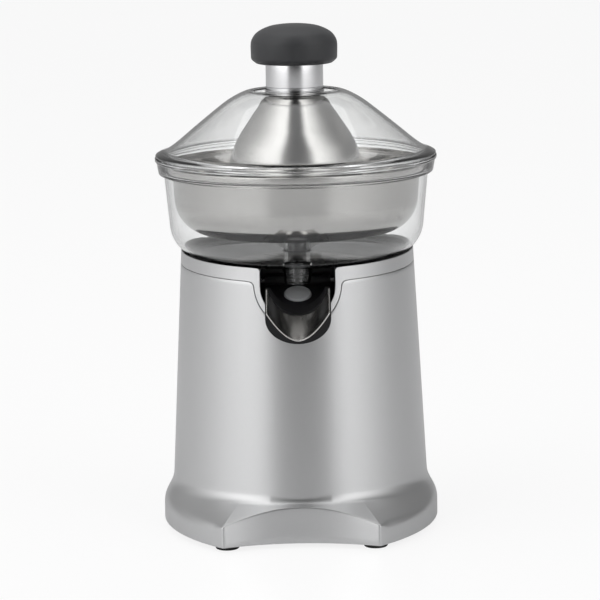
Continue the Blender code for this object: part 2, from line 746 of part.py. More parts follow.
def make_lid(mat):
    """A clear bell: a round shoulder at the hole, a straight slope, and a flange on the bowl's rim."""
    top = LID_Z + LID_HEIGHT
    rim = BOWL_RIM_RADIUS - LID_RIM_INSET
    seat = rim - LID_SEAT_INSET
    slope_top = (LID_HOLE_RADIUS + 0.37 * (rim - LID_HOLE_RADIUS), top - 0.29 * LID_HEIGHT)
    outside = [
        (LID_HOLE_RADIUS, top),
        (LID_HOLE_RADIUS + 0.12 * (rim - LID_HOLE_RADIUS), top - 0.05 * LID_HEIGHT),
        (LID_HOLE_RADIUS + 0.25 * (rim - LID_HOLE_RADIUS), top - 0.15 * LID_HEIGHT),
        slope_top,
        (LID_HOLE_RADIUS + 0.79 * (rim - LID_HOLE_RADIUS), LID_Z + 0.2 * LID_HEIGHT),
        (rim - 1 * MM, LID_Z + 2 * MM),
        (rim, LID_Z + 1 * MM),
        (rim, LID_Z),
    ]
    skirt = [(seat, LID_Z), (seat, LID_Z - LID_SKIRT), (seat - LID_WALL, LID_Z - LID_SKIRT)]
    inside = [
        (seat - LID_WALL, LID_Z + 1.5 * MM),
        (outside[4][0] - 0.5 * LID_WALL, outside[4][1] - 1.1 * LID_WALL),
        (outside[3][0] - 0.5 * LID_WALL, outside[3][1] - 1.1 * LID_WALL),
        (outside[2][0] - 0.3 * LID_WALL, outside[2][1] - LID_WALL),
        (LID_HOLE_RADIUS, top - LID_WALL),
    ]
    return turned("lid_cover", outside + skirt + inside, mat, steps=32)


# ---------------------------------------------------------------- press

def dome_profile(offset):
    """The bell from its rim up to the foot of the neck, moved inwards by offset."""
    shares = [(1.0, 0.0), (1.0, 0.38), (0.92, 0.54), (0.745, 0.716), (0.565, 0.895), (0.405, 1.0)]
    points = []
    for r, z in shares:
        drop = offset if z else 0
        points.append((DOME_RADIUS * r - offset, DOME_Z + DOME_HEIGHT * z - drop))
    return points


def make_dome(mat):
    """A spun steel bell whose neck goes up inside the ferrule and is closed by a drilled top."""
    neck_top = DOME_TOP_Z + NECK_HEIGHT
    bore = PRESS_SCREW_RADIUS + GAP
    neck = [(NECK_RADIUS, DOME_TOP_Z + 0.4 * MM), (NECK_RADIUS, neck_top), (bore, neck_top)]
    outside = dome_profile(0) + neck
    inside = [(bore, neck_top - DOME_WALL), (NECK_RADIUS - DOME_WALL, neck_top - DOME_WALL)]
    profile = outside + inside + list(reversed(dome_profile(DOME_WALL)))
    return turned("press_dome", profile, mat, steps=28)


def make_cup(mat):
    """The cup inside the dome that holds the half fruit."""
    outer = DOME_RADIUS - DOME_WALL - CUP_CLEARANCE
    low = DOME_Z + 0.6 * MM
    shoulder = DOME_Z + 0.33 * DOME_HEIGHT
    ceiling = DOME_Z + 0.56 * DOME_HEIGHT
    outside = [(outer, low), (outer, shoulder), (0.9 * outer, ceiling - 7 * MM), (0.74 * outer, ceiling)]
    boss = [
        (8 * MM, ceiling),
        (8 * MM, DOME_TOP_Z - 4 * MM),
        (PRESS_SCREW_RADIUS + GAP, DOME_TOP_Z - 4 * MM),
        (PRESS_SCREW_RADIUS + GAP, ceiling - CUP_WALL),
    ]
    inside = [
        (0.74 * outer - 0.6 * CUP_WALL, ceiling - CUP_WALL),
        (0.9 * outer - CUP_WALL, ceiling - 7 * MM - 0.6 * CUP_WALL),
        (outer - CUP_WALL, shoulder - 0.5 * CUP_WALL),
        (outer - CUP_WALL, low),
    ]
    return turned("press_cup", outside + boss + inside, mat)


def make_ferrule(mat):
    bore = NECK_RADIUS + GAP
    top = FERRULE_Z + FERRULE_HEIGHT
    return turned(
        "knob_ferrule",
        [
            (bore, top),
            (FERRULE_RADIUS, top),
            (FERRULE_RADIUS, FERRULE_Z + 2.2 * MM),
            (FERRULE_RADIUS + 0.6 * MM, FERRULE_Z + 1.1 * MM),
            (FERRULE_RADIUS, FERRULE_Z),
            (bore, FERRULE_Z),
        ],
        mat,
        steps=24,
    )


def make_knob(mat):
    """A mushroom knob: flattened crown, upright side, and a spigot down inside the ferrule."""
    top = KNOB_Z + KNOB_HEIGHT
    crown = [
        (0, top),
        (0.53 * KNOB_RADIUS, top - 0.05 * KNOB_HEIGHT),
        (0.73 * KNOB_RADIUS, top - 0.13 * KNOB_HEIGHT),
        (0.86 * KNOB_RADIUS, top - 0.21 * KNOB_HEIGHT),
        (0.925 * KNOB_RADIUS, top - 0.29 * KNOB_HEIGHT),
        (0.97 * KNOB_RADIUS, top - 0.36 * KNOB_HEIGHT),
        (KNOB_RADIUS, top - 0.46 * KNOB_HEIGHT),
    ]
    side = [
        (KNOB_RADIUS, KNOB_Z + 4 * MM),
        (KNOB_RADIUS - 1.2 * MM, KNOB_Z + 1.2 * MM),
        (KNOB_RADIUS - 4 * MM, KNOB_Z),
    ]
    groove = FERRULE_RADIUS + GAP
    spigot = NECK_RADIUS - 0.2 * MM
    ferrule_top = FERRULE_Z + FERRULE_HEIGHT + GAP
    spigot_low = DOME_TOP_Z + NECK_HEIGHT + GAP
    bore = PRESS_SCREW_RADIUS + GAP
    under = [
        (groove, KNOB_Z),
        (groove, ferrule_top),
        (spigot, ferrule_top),
        (spigot, spigot_low),
        (bore, spigot_low),
        (bore, KNOB_Z + 0.5 * KNOB_HEIGHT),
        (0, KNOB_Z + 0.5 * KNOB_HEIGHT),
    ]
    return turned("press_knob", crown + side + under, mat, steps=28)


def make_press_screw(mat):
    """It clamps the dome to the knob from inside the neck, with its head over the cup's boss."""
    head_top = DOME_TOP_Z + NECK_HEIGHT - DOME_WALL - GAP
    return screw("press_screw", mat, (0, 0, head_top), DOME_WALL + 2 * GAP + 20 * MM)


# ---------------------------------------------------------------- reamer and drive shaft

def hexagon(flat_radius, bearing):
    """The distance to a hexagon's side at a bearing; it is twice flat_radius across its flats."""
    third = math.pi / 3
    return flat_radius / math.cos((bearing % third) - third / 2)


def ring(radius_at, z, count):
    bearings = [2 * math.pi * k / count for k in range(count)]
    return [(radius_at(a) * math.cos(a), radius_at(a) * math.sin(a), z) for a in bearings]


def make_reamer(mat):
    """A ribbed cone over the strainer's hub, with a hexagonal socket for the shaft."""
    count = 4 * REAMER_RIBS
    hub = BOSS_RADIUS + CHIMNEY_FIT + BOWL_WALL + HUB_FIT + SIEVE_WALL + HUB_FIT
    hub_top = BOWL_Z + CHIMNEY_HEIGHT + 3.0 * MM
    socket_top = SHAFT_TOP_Z + 1.0 * MM
    socket = SHAFT_RADIUS + SHAFT_FIT

    def ribbed(radius, depth):
        return lambda a: radius * (1 + depth * math.cos(REAMER_RIBS * a))

    shares = [
        (1.0, 0.0, 0.0),
        (1.0, 0.08, 0.0),
        (0.93, 0.22, 1.0),
        (0.76, 0.5, 1.0),
        (0.5, 0.78, 1.0),
        (0.14, 0.97, 0.5),
    ]
    outside = []
    for r, z, depth in shares:
        radius_at = ribbed(REAMER_RADIUS * r, REAMER_RIB_DEPTH * depth)
        outside.append(ring(radius_at, REAMER_Z + REAMER_HEIGHT * z, count))
    tip = [ring(lambda a: 0.4 * MM, REAMER_Z + REAMER_HEIGHT, count)]
    inside = [
        ring(lambda a: 0.4 * MM, socket_top, count),
        ring(lambda a: hexagon(socket, a), socket_top - 0.5 * MM, count),
        ring(lambda a: hexagon(socket, a), hub_top, count),
        ring(lambda a: hub, hub_top, count),
        ring(lambda a: hub, REAMER_Z, count),
    ]
    return lofted("reamer_cone", inside + outside + tip, mat)


def make_shaft(mat):
    """One shaft: hexagonal in the gear and in the reamer, round in the bush, with a spring flange."""
    count = 18

    def round_at(radius):
        return lambda a: radius

    def flats(a):
        return min(SHAFT_RADIUS * 1.1, hexagon(SHAFT_RADIUS, a))

    rings = [
        ring(round_at(SHAFT_RADIUS - 1 * MM), SHAFT_BOTTOM_Z, count),
        ring(round_at(SHAFT_RADIUS - 1 * MM), SHAFT_HEX_Z, count),
        ring(flats, SHAFT_HEX_Z, count),
        ring(flats, GEARBOX_TOP_Z - 3 * MM, count),
        ring(round_at(SHAFT_RADIUS), GEARBOX_TOP_Z - 3 * MM, count),
        ring(round_at(SHAFT_RADIUS), SHAFT_FLANGE_Z, count),
        ring(round_at(SHAFT_FLANGE_RADIUS), SHAFT_FLANGE_Z, count),
        ring(round_at(SHAFT_FLANGE_RADIUS), SHAFT_FLANGE_Z + 1.5 * MM, count),
        ring(round_at(SHAFT_RADIUS), SHAFT_FLANGE_Z + 1.5 * MM, count),
        ring(round_at(SHAFT_RADIUS), BOWL_Z + CHIMNEY_HEIGHT, count),
        ring(lambda a: hexagon(SHAFT_RADIUS - 0.6 * MM, a), BOWL_Z + CHIMNEY_HEIGHT, count),
        ring(lambda a: hexagon(SHAFT_RADIUS - 0.6 * MM, a), SHAFT_TOP_Z - 1 * MM, count),
        ring(round_at(SHAFT_RADIUS - 1.5 * MM), SHAFT_TOP_Z, count),
    ]
    return lofted("drive_shaft", rings, mat)


def make_spring(mat):
    """A compression spring between the gearbox and the shaft's flange, as a tube along a helix."""
    mean = (SHAFT_RADIUS + SHAFT_FLANGE_RADIUS) / 2 + 0.3 * MM
    low = GEARBOX_TOP_Z + GAP + SPRING_WIRE_RADIUS
    rise = SHAFT_FLANGE_Z - GAP - SPRING_WIRE_RADIUS - low
    steps = int(SPRING_TURNS * 8)
    curve = bpy.data.curves.new("return_spring", "CURVE")
    curve.dimensions = "3D"
    curve.bevel_depth = SPRING_WIRE_RADIUS
    curve.bevel_resolution = 1
    curve.use_fill_caps = True
    spline = curve.splines.new("POLY")
    spline.points.add(steps)
    for k, point in enumerate(spline.points):
        a = 2 * math.pi * SPRING_TURNS * k / steps
        point.co = (mean * math.cos(a), mean * math.sin(a), low + rise * k / steps, 1)
    spring = bpy.data.objects.new("return_spring", curve)
    curve.materials.append(mat)
    bpy.context.scene.collection.objects.link(spring)
    return spring


# ---------------------------------------------------------------- gearbox

def gear_outline(teeth, module, addendum=1.0, dedendum=1.15):
    """Straight-sided teeth with backlash: root, flank, tip and flank for each tooth."""
    pitch = module * teeth / 2
    outline = []
    for k in range(teeth):
        middle = 2 * math.pi * k / teeth
        step = 2 * math.pi / teeth
        wide = step * (0.25 - 0.1 * GEAR_BACKLASH) * 1.35
        narrow = step * (0.25 - 0.1 * GEAR_BACKLASH) * 0.5
        outline += [
            ((pitch - dedendum * module), middle - wide),
            ((pitch + addendum * module), middle - narrow),
            ((pitch + addendum * module), middle + narrow),
            ((pitch - dedendum * module), middle + wide),
        ]
    return [(r * math.cos(a), r * math.sin(a)) for r, a in outline]


def make_output_gear(mat):
    """The slow gear, whose hexagonal bore slides on the shaft."""
    outline = gear_outline(OUTPUT_TEETH, SLOW_MODULE, 0.85)
    gear = plate("output_gear", outline, SLOW_GEAR_Z, SLOW_GEAR_Z + GEAR_FACE, mat)
    hub = rod("output_hub", 9 * MM, SLOW_GEAR_Z - 1 * MM, SLOW_GEAR_Z + GEAR_FACE + 2 * MM, None)
    bore = lofted(
        "output_bore",
        [
            ring(lambda a: hexagon(SHAFT_RADIUS + SHAFT_FIT, a), SLOW_GEAR_Z - 2 * MM, 24),
            ring(lambda a: hexagon(SHAFT_RADIUS + SHAFT_FIT, a), SLOW_GEAR_Z + GEAR_FACE + 3 * MM, 24),
        ],
        None,
    )
    join(gear, hub)
    cut(gear, bore)
    return gear


def slow_mesh_phase():
    """Turns the pinion so that its gap faces the output gear's tooth on the line of centres."""
    from_tooth = IDLER_BEARING % (2 * math.pi / OUTPUT_TEETH)
    return math.pi + IDLER_BEARING + from_tooth * OUTPUT_TEETH / PINION_TEETH


def make_idler(mat):
    """A compound gear: the large wheel that the motor drives, and a pinion for the output gear."""
    place = (IDLER_X, IDLER_Y, 0)
    teeth = gear_outline(IDLER_TEETH, FAST_MODULE, 0.85)
    wheel = plate("idler_gear", teeth, FAST_GEAR_Z, FAST_GEAR_Z + GEAR_FACE, mat, place)
    pinion = plate(
        "idler_pinion",
        gear_outline(PINION_TEETH, SLOW_MODULE, 0.85),
        FAST_GEAR_Z + GEAR_FACE - 1 * MM,
        SLOW_GEAR_Z + GEAR_FACE + 0.5 * MM,
        None,
        place,
    )
    turn = slow_mesh_phase() + math.pi / PINION_TEETH
    wheel.rotation_euler = (0, 0, turn)
    pinion.rotation_euler = (0, 0, turn)
    bore = rod("idler_bore", IDLER_PIN_RADIUS + SHAFT_FIT, GEARBOX_Z, GEARBOX_TOP_Z, None, place, 12)
    join(wheel, pinion)
    cut(wheel, bore)
    return wheel


def make_idler_pin(mat):
    low = GEARBOX_Z + GAP
    high = GEARBOX_TOP_Z - GEARBOX_WALL - GAP
    return rod("idler_pin", IDLER_PIN_RADIUS, low, high, mat, (IDLER_X, IDLER_Y, 0), 12)


def motor_mesh_phase():
    """Turns the motor pinion so that its gap faces the idler's tooth on the line of centres."""
    pitch = 2 * math.pi / IDLER_TEETH
    from_tooth = (MOTOR_BEARING - slow_mesh_phase() - math.pi / PINION_TEETH) % pitch
    return MOTOR_BEARING + math.pi + from_tooth * IDLER_TEETH / MOTOR_TEETH + math.pi / MOTOR_TEETH


def make_motor_pinion(mat):
    place = (MOTOR_X, MOTOR_Y, 0)
    outline = gear_outline(MOTOR_TEETH, FAST_MODULE, 0.85, 1.0)
    low = FAST_GEAR_Z - 0.5 * MM
    pinion = plate("motor_pinion", outline, low, low + GEAR_FACE + 1 * MM, mat, place)
    pinion.rotation_euler = (0, 0, motor_mesh_phase())
    radius = MOTOR_SHAFT_RADIUS - 0.5 * MM
    bore = rod("motor_pinion_bore", radius, GEARBOX_Z, GEARBOX_TOP_Z, None, place, 12)
    cut(pinion, bore)
    return pinion


def cross(origin, a, b):
    return (a[0] - origin[0]) * (b[1] - origin[1]) - (a[1] - origin[1]) * (b[0] - origin[0])


def wrapped(circles, margin, steps=24):
    """The outline of a band stretched round circles of (x, y, radius), each grown by a margin."""
    points = set()
    for x, y, radius in circles:
        circle = arc((x, y), radius + margin, 0, 360, steps)
        points |= {(round(px, 7), round(py, 7)) for px, py in circle}
    ordered = sorted(points)
    halves = []
    for run in (ordered, ordered[::-1]):
        half = []
        for point in run:
            while len(half) > 1 and cross(half[-2], half[-1], point) <= 1e-12:
                half.pop()
            half.append(point)
        halves.append(half[:-1])
    return halves[0] + halves[1]


def gear_circles():
    return [
        (0, 0, SLOW_MODULE * (OUTPUT_TEETH / 2 + 1)),
        (IDLER_X, IDLER_Y, FAST_MODULE * (IDLER_TEETH / 2 + 1)),
        (MOTOR_X, MOTOR_Y, FAST_MODULE * (MOTOR_TEETH / 2 + 1)),
    ]


def gearbox_screw_places():
    """Round the gearbox flange, clear of the gears."""
    reach = SLOW_MODULE * (OUTPUT_TEETH / 2 + 1) + GEARBOX_WALL + 3.6 * MM
    far = FAST_MODULE * (IDLER_TEETH / 2 + 1) + GEARBOX_WALL + 3.6 * MM
    places = []
    for a in (math.radians(215), math.radians(325)):
        places.append((reach * math.cos(a), reach * math.sin(a)))
    for a in (math.radians(25), math.radians(95)):
        places.append((IDLER_X + far * math.cos(a), IDLER_Y + far * math.sin(a)))
    return places


def make_gearbox_cover(mat):
    """A cap over the gears with a flange round its open foot."""
    outer = wrapped(gear_circles(), GEAR_ROOM + GEARBOX_WALL)
    brim = wrapped(gear_circles(), GEAR_ROOM + GEARBOX_WALL + GEARBOX_FLANGE)
    low = GEARBOX_Z + GEARBOX_BASE_THICKNESS + GAP
    cover = plate("gearbox_cover", outer, low, GEARBOX_TOP_Z, mat)
    flange = plate("cover_flange", brim, low, low + COVER_FLANGE_THICKNESS, None)
    ceiling = GEARBOX_TOP_Z - GEARBOX_WALL
    room = plate("cover_room", wrapped(gear_circles(), GEAR_ROOM), GEARBOX_Z, ceiling, None)
    hole = rod("cover_shaft_hole", SHAFT_RADIUS + SHAFT_FIT, GEARBOX_Z, GEARBOX_TOP_Z + 5 * MM, None)
    join(cover, flange)
    cut(cover, room, hole)
    for x, y in gearbox_screw_places():
        top = GEARBOX_Z + 8 * MM
        cut(cover, rod("cover_screw_hole", SCREW_RADIUS + GAP, GEARBOX_Z, top, None, (x, y, 0), 12))
    return cover


def make_gearbox_base(mat):
    base = plate(
        "gearbox_base",
        wrapped(gear_circles(), GEAR_ROOM + GEARBOX_WALL + GEARBOX_FLANGE),
        GEARBOX_Z,
        GEARBOX_Z + GEARBOX_BASE_THICKNESS,
        mat,
    )
    boss = rod("base_boss", 7 * MM, GEARBOX_Z + 1 * MM, GEARBOX_Z + BASE_BOSS_HEIGHT, None)
    shaft_hole = rod("base_shaft_hole", SHAFT_RADIUS - 1 * MM + SHAFT_FIT, 0, GEARBOX_TOP_Z, None)
    motor_hole = rod("base_motor_hole", BEARING_RADIUS, 0, GEARBOX_TOP_Z, None, (MOTOR_X, MOTOR_Y, 0))
    pin_hole = rod("base_pin_hole", IDLER_PIN_RADIUS + GAP, 0, GEARBOX_TOP_Z, None, (IDLER_X, IDLER_Y, 0), 12)
    join(base, boss)
    cut(base, shaft_hole, motor_hole, pin_hole)
    for x, y in gearbox_screw_places():
        cut(base, rod("gearbox_screw_hole", SCREW_RADIUS + GAP, 0, GEARBOX_TOP_Z, None, (x, y, 0), 12))
    return base


def make_gearbox_screws(mat):
    for number, (x, y) in enumerate(gearbox_screw_places(), 1):
        screw(f"gearbox_screw_{number}", mat, (x, y, GEARBOX_Z - GAP), 6 * MM)


# ---------------------------------------------------------------- motor and switch

def rounded_rectangle(half_x, half_y, radius, steps=4):
    """A rectangle's outline with round corners, anticlockwise."""
    corners = [(1, -1, -90), (1, 1, 0), (-1, 1, 90), (-1, -1, 180)]
    outline = []
    for sx, sy, start in corners:
        outline += arc((sx * (half_x - radius), sy * (half_y - radius)), radius, start, start + 90, steps)
    return outline


def make_stator(mat):
    """The laminated stack: a bored block with a window at each side for the field coils."""
    place = (MOTOR_X, MOTOR_Y, 0)
    outline = rounded_rectangle(STATOR_HALF_WIDTH, STATOR_HALF_DEPTH, 5 * MM)
    stator = plate("motor_stator", outline, STATOR_Z, STATOR_Z + STATOR_HEIGHT, mat, place)
    bore = rod("stator_bore", ROTOR_RADIUS + AIR_GAP, 0, MOTOR_TOP_Z + STATOR_HEIGHT, None, place, 24)
    reach = STATOR_HALF_WIDTH - 5 * MM
    window = box(
        "stator_window",
        (-reach, -9 * MM, STATOR_Z - 5 * MM),
        (reach, 9 * MM, MOTOR_TOP_Z + 5 * MM),
        None,
        place,
    )
    cut(stator, bore, window)
    return stator


def make_coils(mat):
    """A field coil in each window, standing proud of the stack at both ends."""
    inner = ROTOR_RADIUS + AIR_GAP + 0.6 * MM
    outer = STATOR_HALF_WIDTH - 5 * MM - GAP
    low = STATOR_Z - 5 * MM
    high = MOTOR_TOP_Z + 4.5 * MM
    for name, side in (("field_coil_left", -1), ("field_coil_right", 1)):
        near, far = sorted((side * inner, side * outer))
        edges = rounded_rectangle((far - near) / 2, 9 * MM - GAP, 2 * MM, 3)
        plate(name, edges, low, high, mat, (MOTOR_X + (near + far) / 2, MOTOR_Y, 0))


def make_armature(mat):
    """The rotor stack, commutator and shaft, turned about the motor's axis."""
    s = MOTOR_SHAFT_RADIUS
    top = FAST_GEAR_Z + GEAR_FACE
    low = STATOR_Z - 30 * MM
    profile = [
        (0, top),
        (s - 0.8 * MM, top),
        (s - 0.8 * MM, FAST_GEAR_Z - 1.5 * MM),
        (s, FAST_GEAR_Z - 1.5 * MM),
        (s, MOTOR_TOP_Z - 1 * MM),
        (ROTOR_RADIUS, MOTOR_TOP_Z - 1 * MM),
        (ROTOR_RADIUS, STATOR_Z + 1 * MM),
        (7 * MM, STATOR_Z + 1 * MM),
        (7 * MM, STATOR_Z - 10 * MM),
        (s, STATOR_Z - 10 * MM),
        (s, low),
        (0, low),
    ]
    return turned("motor_armature", profile, mat, (MOTOR_X, MOTOR_Y, 0), 24)


def make_fan(mat):
    """A flat radial fan on the shaft's lower end."""
    place = (MOTOR_X, MOTOR_Y, 0)
    outline = []
    for k in range(FAN_BLADES):
        a = 2 * math.pi * k / FAN_BLADES
        step = math.pi / FAN_BLADES
        outline += [
            (FAN_HUB_RADIUS, a - 0.5 * step),
            (FAN_RADIUS, a - 0.3 * step),
            (FAN_RADIUS, a),
            (FAN_HUB_RADIUS, a + 0.3 * step),
        ]
    points = [(r * math.cos(a), r * math.sin(a)) for r, a in outline]
    fan = plate("cooling_fan", points, STATOR_Z - 28 * MM, STATOR_Z - 20 * MM, mat, place)
    cut(fan, rod("fan_bore", MOTOR_SHAFT_RADIUS + 0.1 * MM, 0, MOTOR_TOP_Z, None, place, 16))
    return fan


def make_motor_bridges(mat):
    """A bearing bridge across each end of the stack."""
    place = (MOTOR_X, MOTOR_Y, 0)
    levels = (("motor_bridge_top", MOTOR_TOP_Z + 5 * MM), ("motor_bridge_bottom", STATOR_Z - 15 * MM))
    for name, low in levels:
        outline = rounded_rectangle(STATOR_HALF_WIDTH, 8.5 * MM, 3 * MM)
        bridge = plate(name, outline, low, low + 2.5 * MM, mat, place)
        if low > STATOR_Z:
            feet_low = MOTOR_TOP_Z + GAP
            feet_high = low + 1 * MM
        else:
            feet_low = low + 1 * MM
            feet_high = STATOR_Z - GAP
        for side in (-1, 1):
            near, far = sorted((side * (STATOR_HALF_WIDTH - 4 * MM), side * STATOR_HALF_WIDTH))
            leg = box(f"{name}_leg", (near, -6 * MM, feet_low), (far, 6 * MM, feet_high), None, place)
            join(bridge, leg)
        cut(bridge, rod(f"{name}_hole", BEARING_RADIUS + GAP, 0, GEARBOX_TOP_Z, None, place, 20))


def make_bearings(mat):
    place = (MOTOR_X, MOTOR_Y, 0)
    levels = (
        ("motor_bearing_top", MOTOR_TOP_Z + 4.5 * MM),
        ("motor_bearing_bottom", STATOR_Z - 15.5 * MM),
    )
    for name, low in levels:
        inner = MOTOR_SHAFT_RADIUS + 0.15 * MM
        tube(name, inner, BEARING_RADIUS, low, low + 3.5 * MM, mat, place, 20)


def make_switch(body_mat, plunger_mat, bracket_mat):
    """A microswitch below the shaft's end, which starts the motor when the shaft is pressed."""
    plunger_top = SHAFT_BOTTOM_Z - GAP
    body_top = plunger_top - SHAFT_STROKE - 1.7 * MM
    body_low = body_top - 15 * MM
    body = box("press_switch", (-10 * MM, -3.2 * MM, body_low), (10 * MM, 3.2 * MM, body_top), body_mat)
    cut(body, rod("switch_bore", 2 * MM, body_top - 8 * MM, body_top + 5 * MM, None, steps=16))
    plunger_low = body_top - 8 * MM + SHAFT_STROKE + 0.8 * MM
    rod("switch_plunger", 1.6 * MM, plunger_low, plunger_top, plunger_mat, steps=16)
    low = body_low - GAP
    wide = 13 * MM
    outline = [
        (-wide, low - 1.5 * MM),
        (wide, low - 1.5 * MM),
        (wide, GEARBOX_Z - GAP),
        (wide - 1.5 * MM, GEARBOX_Z - GAP),
        (wide - 1.5 * MM, low),
        (-wide + 1.5 * MM, low),
        (-wide + 1.5 * MM, GEARBOX_Z - GAP),
        (-wide, GEARBOX_Z - GAP),
    ]
    prism("switch_bracket", [(x, -5 * MM, z) for x, z in outline], (0, 10 * MM, 0), bracket_mat)


def make_wiring(block_mat, clamp_mat):
    """The terminal block and the cord clamp, on the base plate behind the motor's axis."""
    top = BASE_Z + BASE_THICKNESS + GAP
    corner = (14 * MM, -30 * MM, top + 11 * MM)
    block = box("terminal_block", (-14 * MM, -42 * MM, top), corner, block_mat)
    for x in (-9 * MM, 0, 9 * MM):
        low_corner = (x - 2 * MM, -45 * MM, top + 3 * MM)
        high_corner = (x + 2 * MM, -25 * MM, top + 7 * MM)
        cut(block, box("terminal_hole", low_corner, high_corner, None))
    bridge = arc((0, top), 6.5 * MM, 0, 180, 8)
    hollow = arc((0, top), 4.2 * MM, 180, 0, 8)
    left = [(-12 * MM, top), (-4.2 * MM, top)]
    right = [(12 * MM, top), (12 * MM, top + 2.5 * MM)]
    outline = right + bridge[3:6] + [(-12 * MM, top + 2.5 * MM)] + left + hollow[1:]
    prism("cord_clamp", [(x, 60 * MM, z) for x, z in outline], (0, 8 * MM, 0), clamp_mat)


# ---------------------------------------------------------------- tilting spout

def slope_shift(y):
    """How far the spout's section has risen at y, from its lip."""
    return (y + SPOUT_REACH) * math.tan(SPOUT_SLOPE)


def spout_low_z():
    """The lip's lowest point, so that the trough clears the opening's foot where it passes."""
    foot = MOUTH_Z - MOUTH_RADIUS + SPOUT_CLEARANCE
    return foot - slope_shift(-body_radius(foot))


def shell_section():
    """The dark shell's outer section: half an ellipse with short upright sides."""
    upright = 3.4 * MM
    bowl = SPOUT_DEPTH - upright
    low = spout_low_z()
    half_circle = arc((0, 0), 1.0, 180, 360, 26)
    points = [(SPOUT_HALF_WIDTH * x, low + bowl + bowl * z) for x, z in half_circle]
    top = low + SPOUT_DEPTH
    return [(-SPOUT_HALF_WIDTH, top)] + points + [(SPOUT_HALF_WIDTH, top)]


def liner_curve(offset, power):
    """The steel's section: height grows with a power of the distance from the middle."""
    low = spout_low_z() + LINER_LIFT + offset
    depth = SPOUT_DEPTH - LINER_LIFT - offset
    half_width = LINER_HALF_WIDTH - 0.6 * offset
    shares = [-1 + k / 8 for k in range(17)]
    return [(half_width * s, low + depth * abs(s) ** power) for s in shares]


def liner_stations():
    """Places along the trough, from the lip to the rear, with the section's power at each."""
    run = spout_rear() + SPOUT_REACH
    stations = []
    for share in (0.0, 0.5, 1.0):
        stations.append((-SPOUT_REACH + share * run, LIP_POWER + (REAR_POWER - LIP_POWER) * share))
    return stations


def liner_ring(y, power):
    rise = slope_shift(y)
    under = liner_curve(0, power)
    over = liner_curve(LINER_WALL, power)
    return [(x, y, z + rise) for x, z in under] + [(x, y, z + rise) for x, z in reversed(over)]


def spout_rear():
    """Where the steel ends, just inside the yoke's outer face."""
    return -body_radius(MOUTH_Z) + 1.5 * MM


def make_spout_liner(mat, pivot):
    """The steel trough: round at the rear, opening to a pouring lip at the front."""
    rings = [liner_ring(y, power) for y, power in liner_stations()]
    return at_pivot(lofted("spout_trough", rings, mat), pivot)


def at_pivot(made, pivot):
    """Moves an object's origin to the spout's hinge, and leaves its shape where it is."""
    offset = Vector((0, PIVOT_Y, PIVOT_Z))
    made.data.transform(Matrix.Translation(-offset))
    made.location = (0, 0, 0)
    made.parent = pivot
    return made


def flat_when_closed(made, pivot):
    """Turns a piece that lies level when the spout is shut down to where it rests."""
    at_pivot(made, pivot)
    made.data.transform(Matrix.Rotation(SPOUT_TRAVEL, 4, "X"))
    return made


def on_hinge_axis(made):
    """Lays a rod that was made upright along the spout's hinge axis."""
    made.data.transform(Matrix.Rotation(math.pi / 2, 4, "Y"))
    made.data.transform(Matrix.Translation((0, PIVOT_Y, PIVOT_Z)))
    return made


def floor_level():
    """The spout floor's height when it is shut, a little under the pad's face."""
    return BOWL_Z - OUTLET_DROP - GAP - PAD_PROUD


def make_spout_floor():
    """The level part under the pad, between the recess's side walls."""
    half = RECESS_HALF_WIDTH - RECESS_WALL - SPOUT_END_GAP
    front = PIVOT_Y + (recess_front() - PIVOT_Y) / math.cos(SPOUT_TRAVEL)
    low = floor_level() - SPOUT_FLOOR_THICKNESS
    return box("spout_floor", (-half, front, low), (half, PIVOT_Y, floor_level()), None)


def make_spout_channel():
    """A round-bottomed channel over the floor, behind the steel."""
    radius = SPOUT_HALF_WIDTH - SPOUT_WALL
    outline = arc((0, floor_level() + radius), radius, 180, 360, 16)
    outline = [(-radius, floor_level() + 2 * radius)] + outline + [(radius, floor_level() + 2 * radius)]
    front = PIVOT_Y + (spout_rear() + GAP - PIVOT_Y) / math.cos(SPOUT_TRAVEL)
    return prism("spout_channel", [(x, front, z) for x, z in outline], (0, PIVOT_Y - front, 0), None)


def make_spout_shell(mat, pivot):
    """The dark shell: a trough under the steel, a floor under the pad, and a barrel on the pin."""
    start = -SPOUT_REACH
    run = recess_front() + 2 * MM - start
    rise = run * math.tan(SPOUT_SLOPE)
    shell = prism("spout_shell", [(x, start, z) for x, z in shell_section()], (0, run, rise), mat)
    stations = liner_stations()
    ends = [(start - 2 * MM, stations[0][1])] + stations + [(spout_rear() + GAP, stations[-1][1])]
    room = lofted("spout_shell_room", [spout_room_ring(y, power) for y, power in ends], None)
    wide = 2 * RECESS_HALF_WIDTH
    far = (wide, PIVOT_Y + 10 * MM, PIVOT_Z + wide)
    trim = box("spout_shell_trim", (-wide, start - 1 * MM, PIVOT_Z), far, None)
    half = RECESS_HALF_WIDTH - RECESS_WALL - SPOUT_END_GAP
    barrel = on_hinge_axis(rod("spout_barrel", 4 * MM, -half, half, None, steps=16))
    bore = on_hinge_axis(rod("spout_pin_bore", PIVOT_PIN_RADIUS + GAP, -wide, wide, None, steps=12))
    seat_low = floor_level() - PAD_THICKNESS + PAD_PROUD - GAP
    seat = rod("spout_pad_seat", PAD_RADIUS + GAP, seat_low, BOWL_Z, None)
    seat.data.transform(Matrix.Translation((0, -OUTLET_REACH, 0)))
    floor = make_spout_floor()
    channel = make_spout_channel()
    for piece in (shell, room, trim, bore, barrel):
        at_pivot(piece, pivot)
    for piece in (floor, seat, channel):
        flat_when_closed(piece, pivot)
    cut(shell, room, channel, trim)
    join(shell, floor, barrel)
    cut(shell, seat, bore)
    return shell


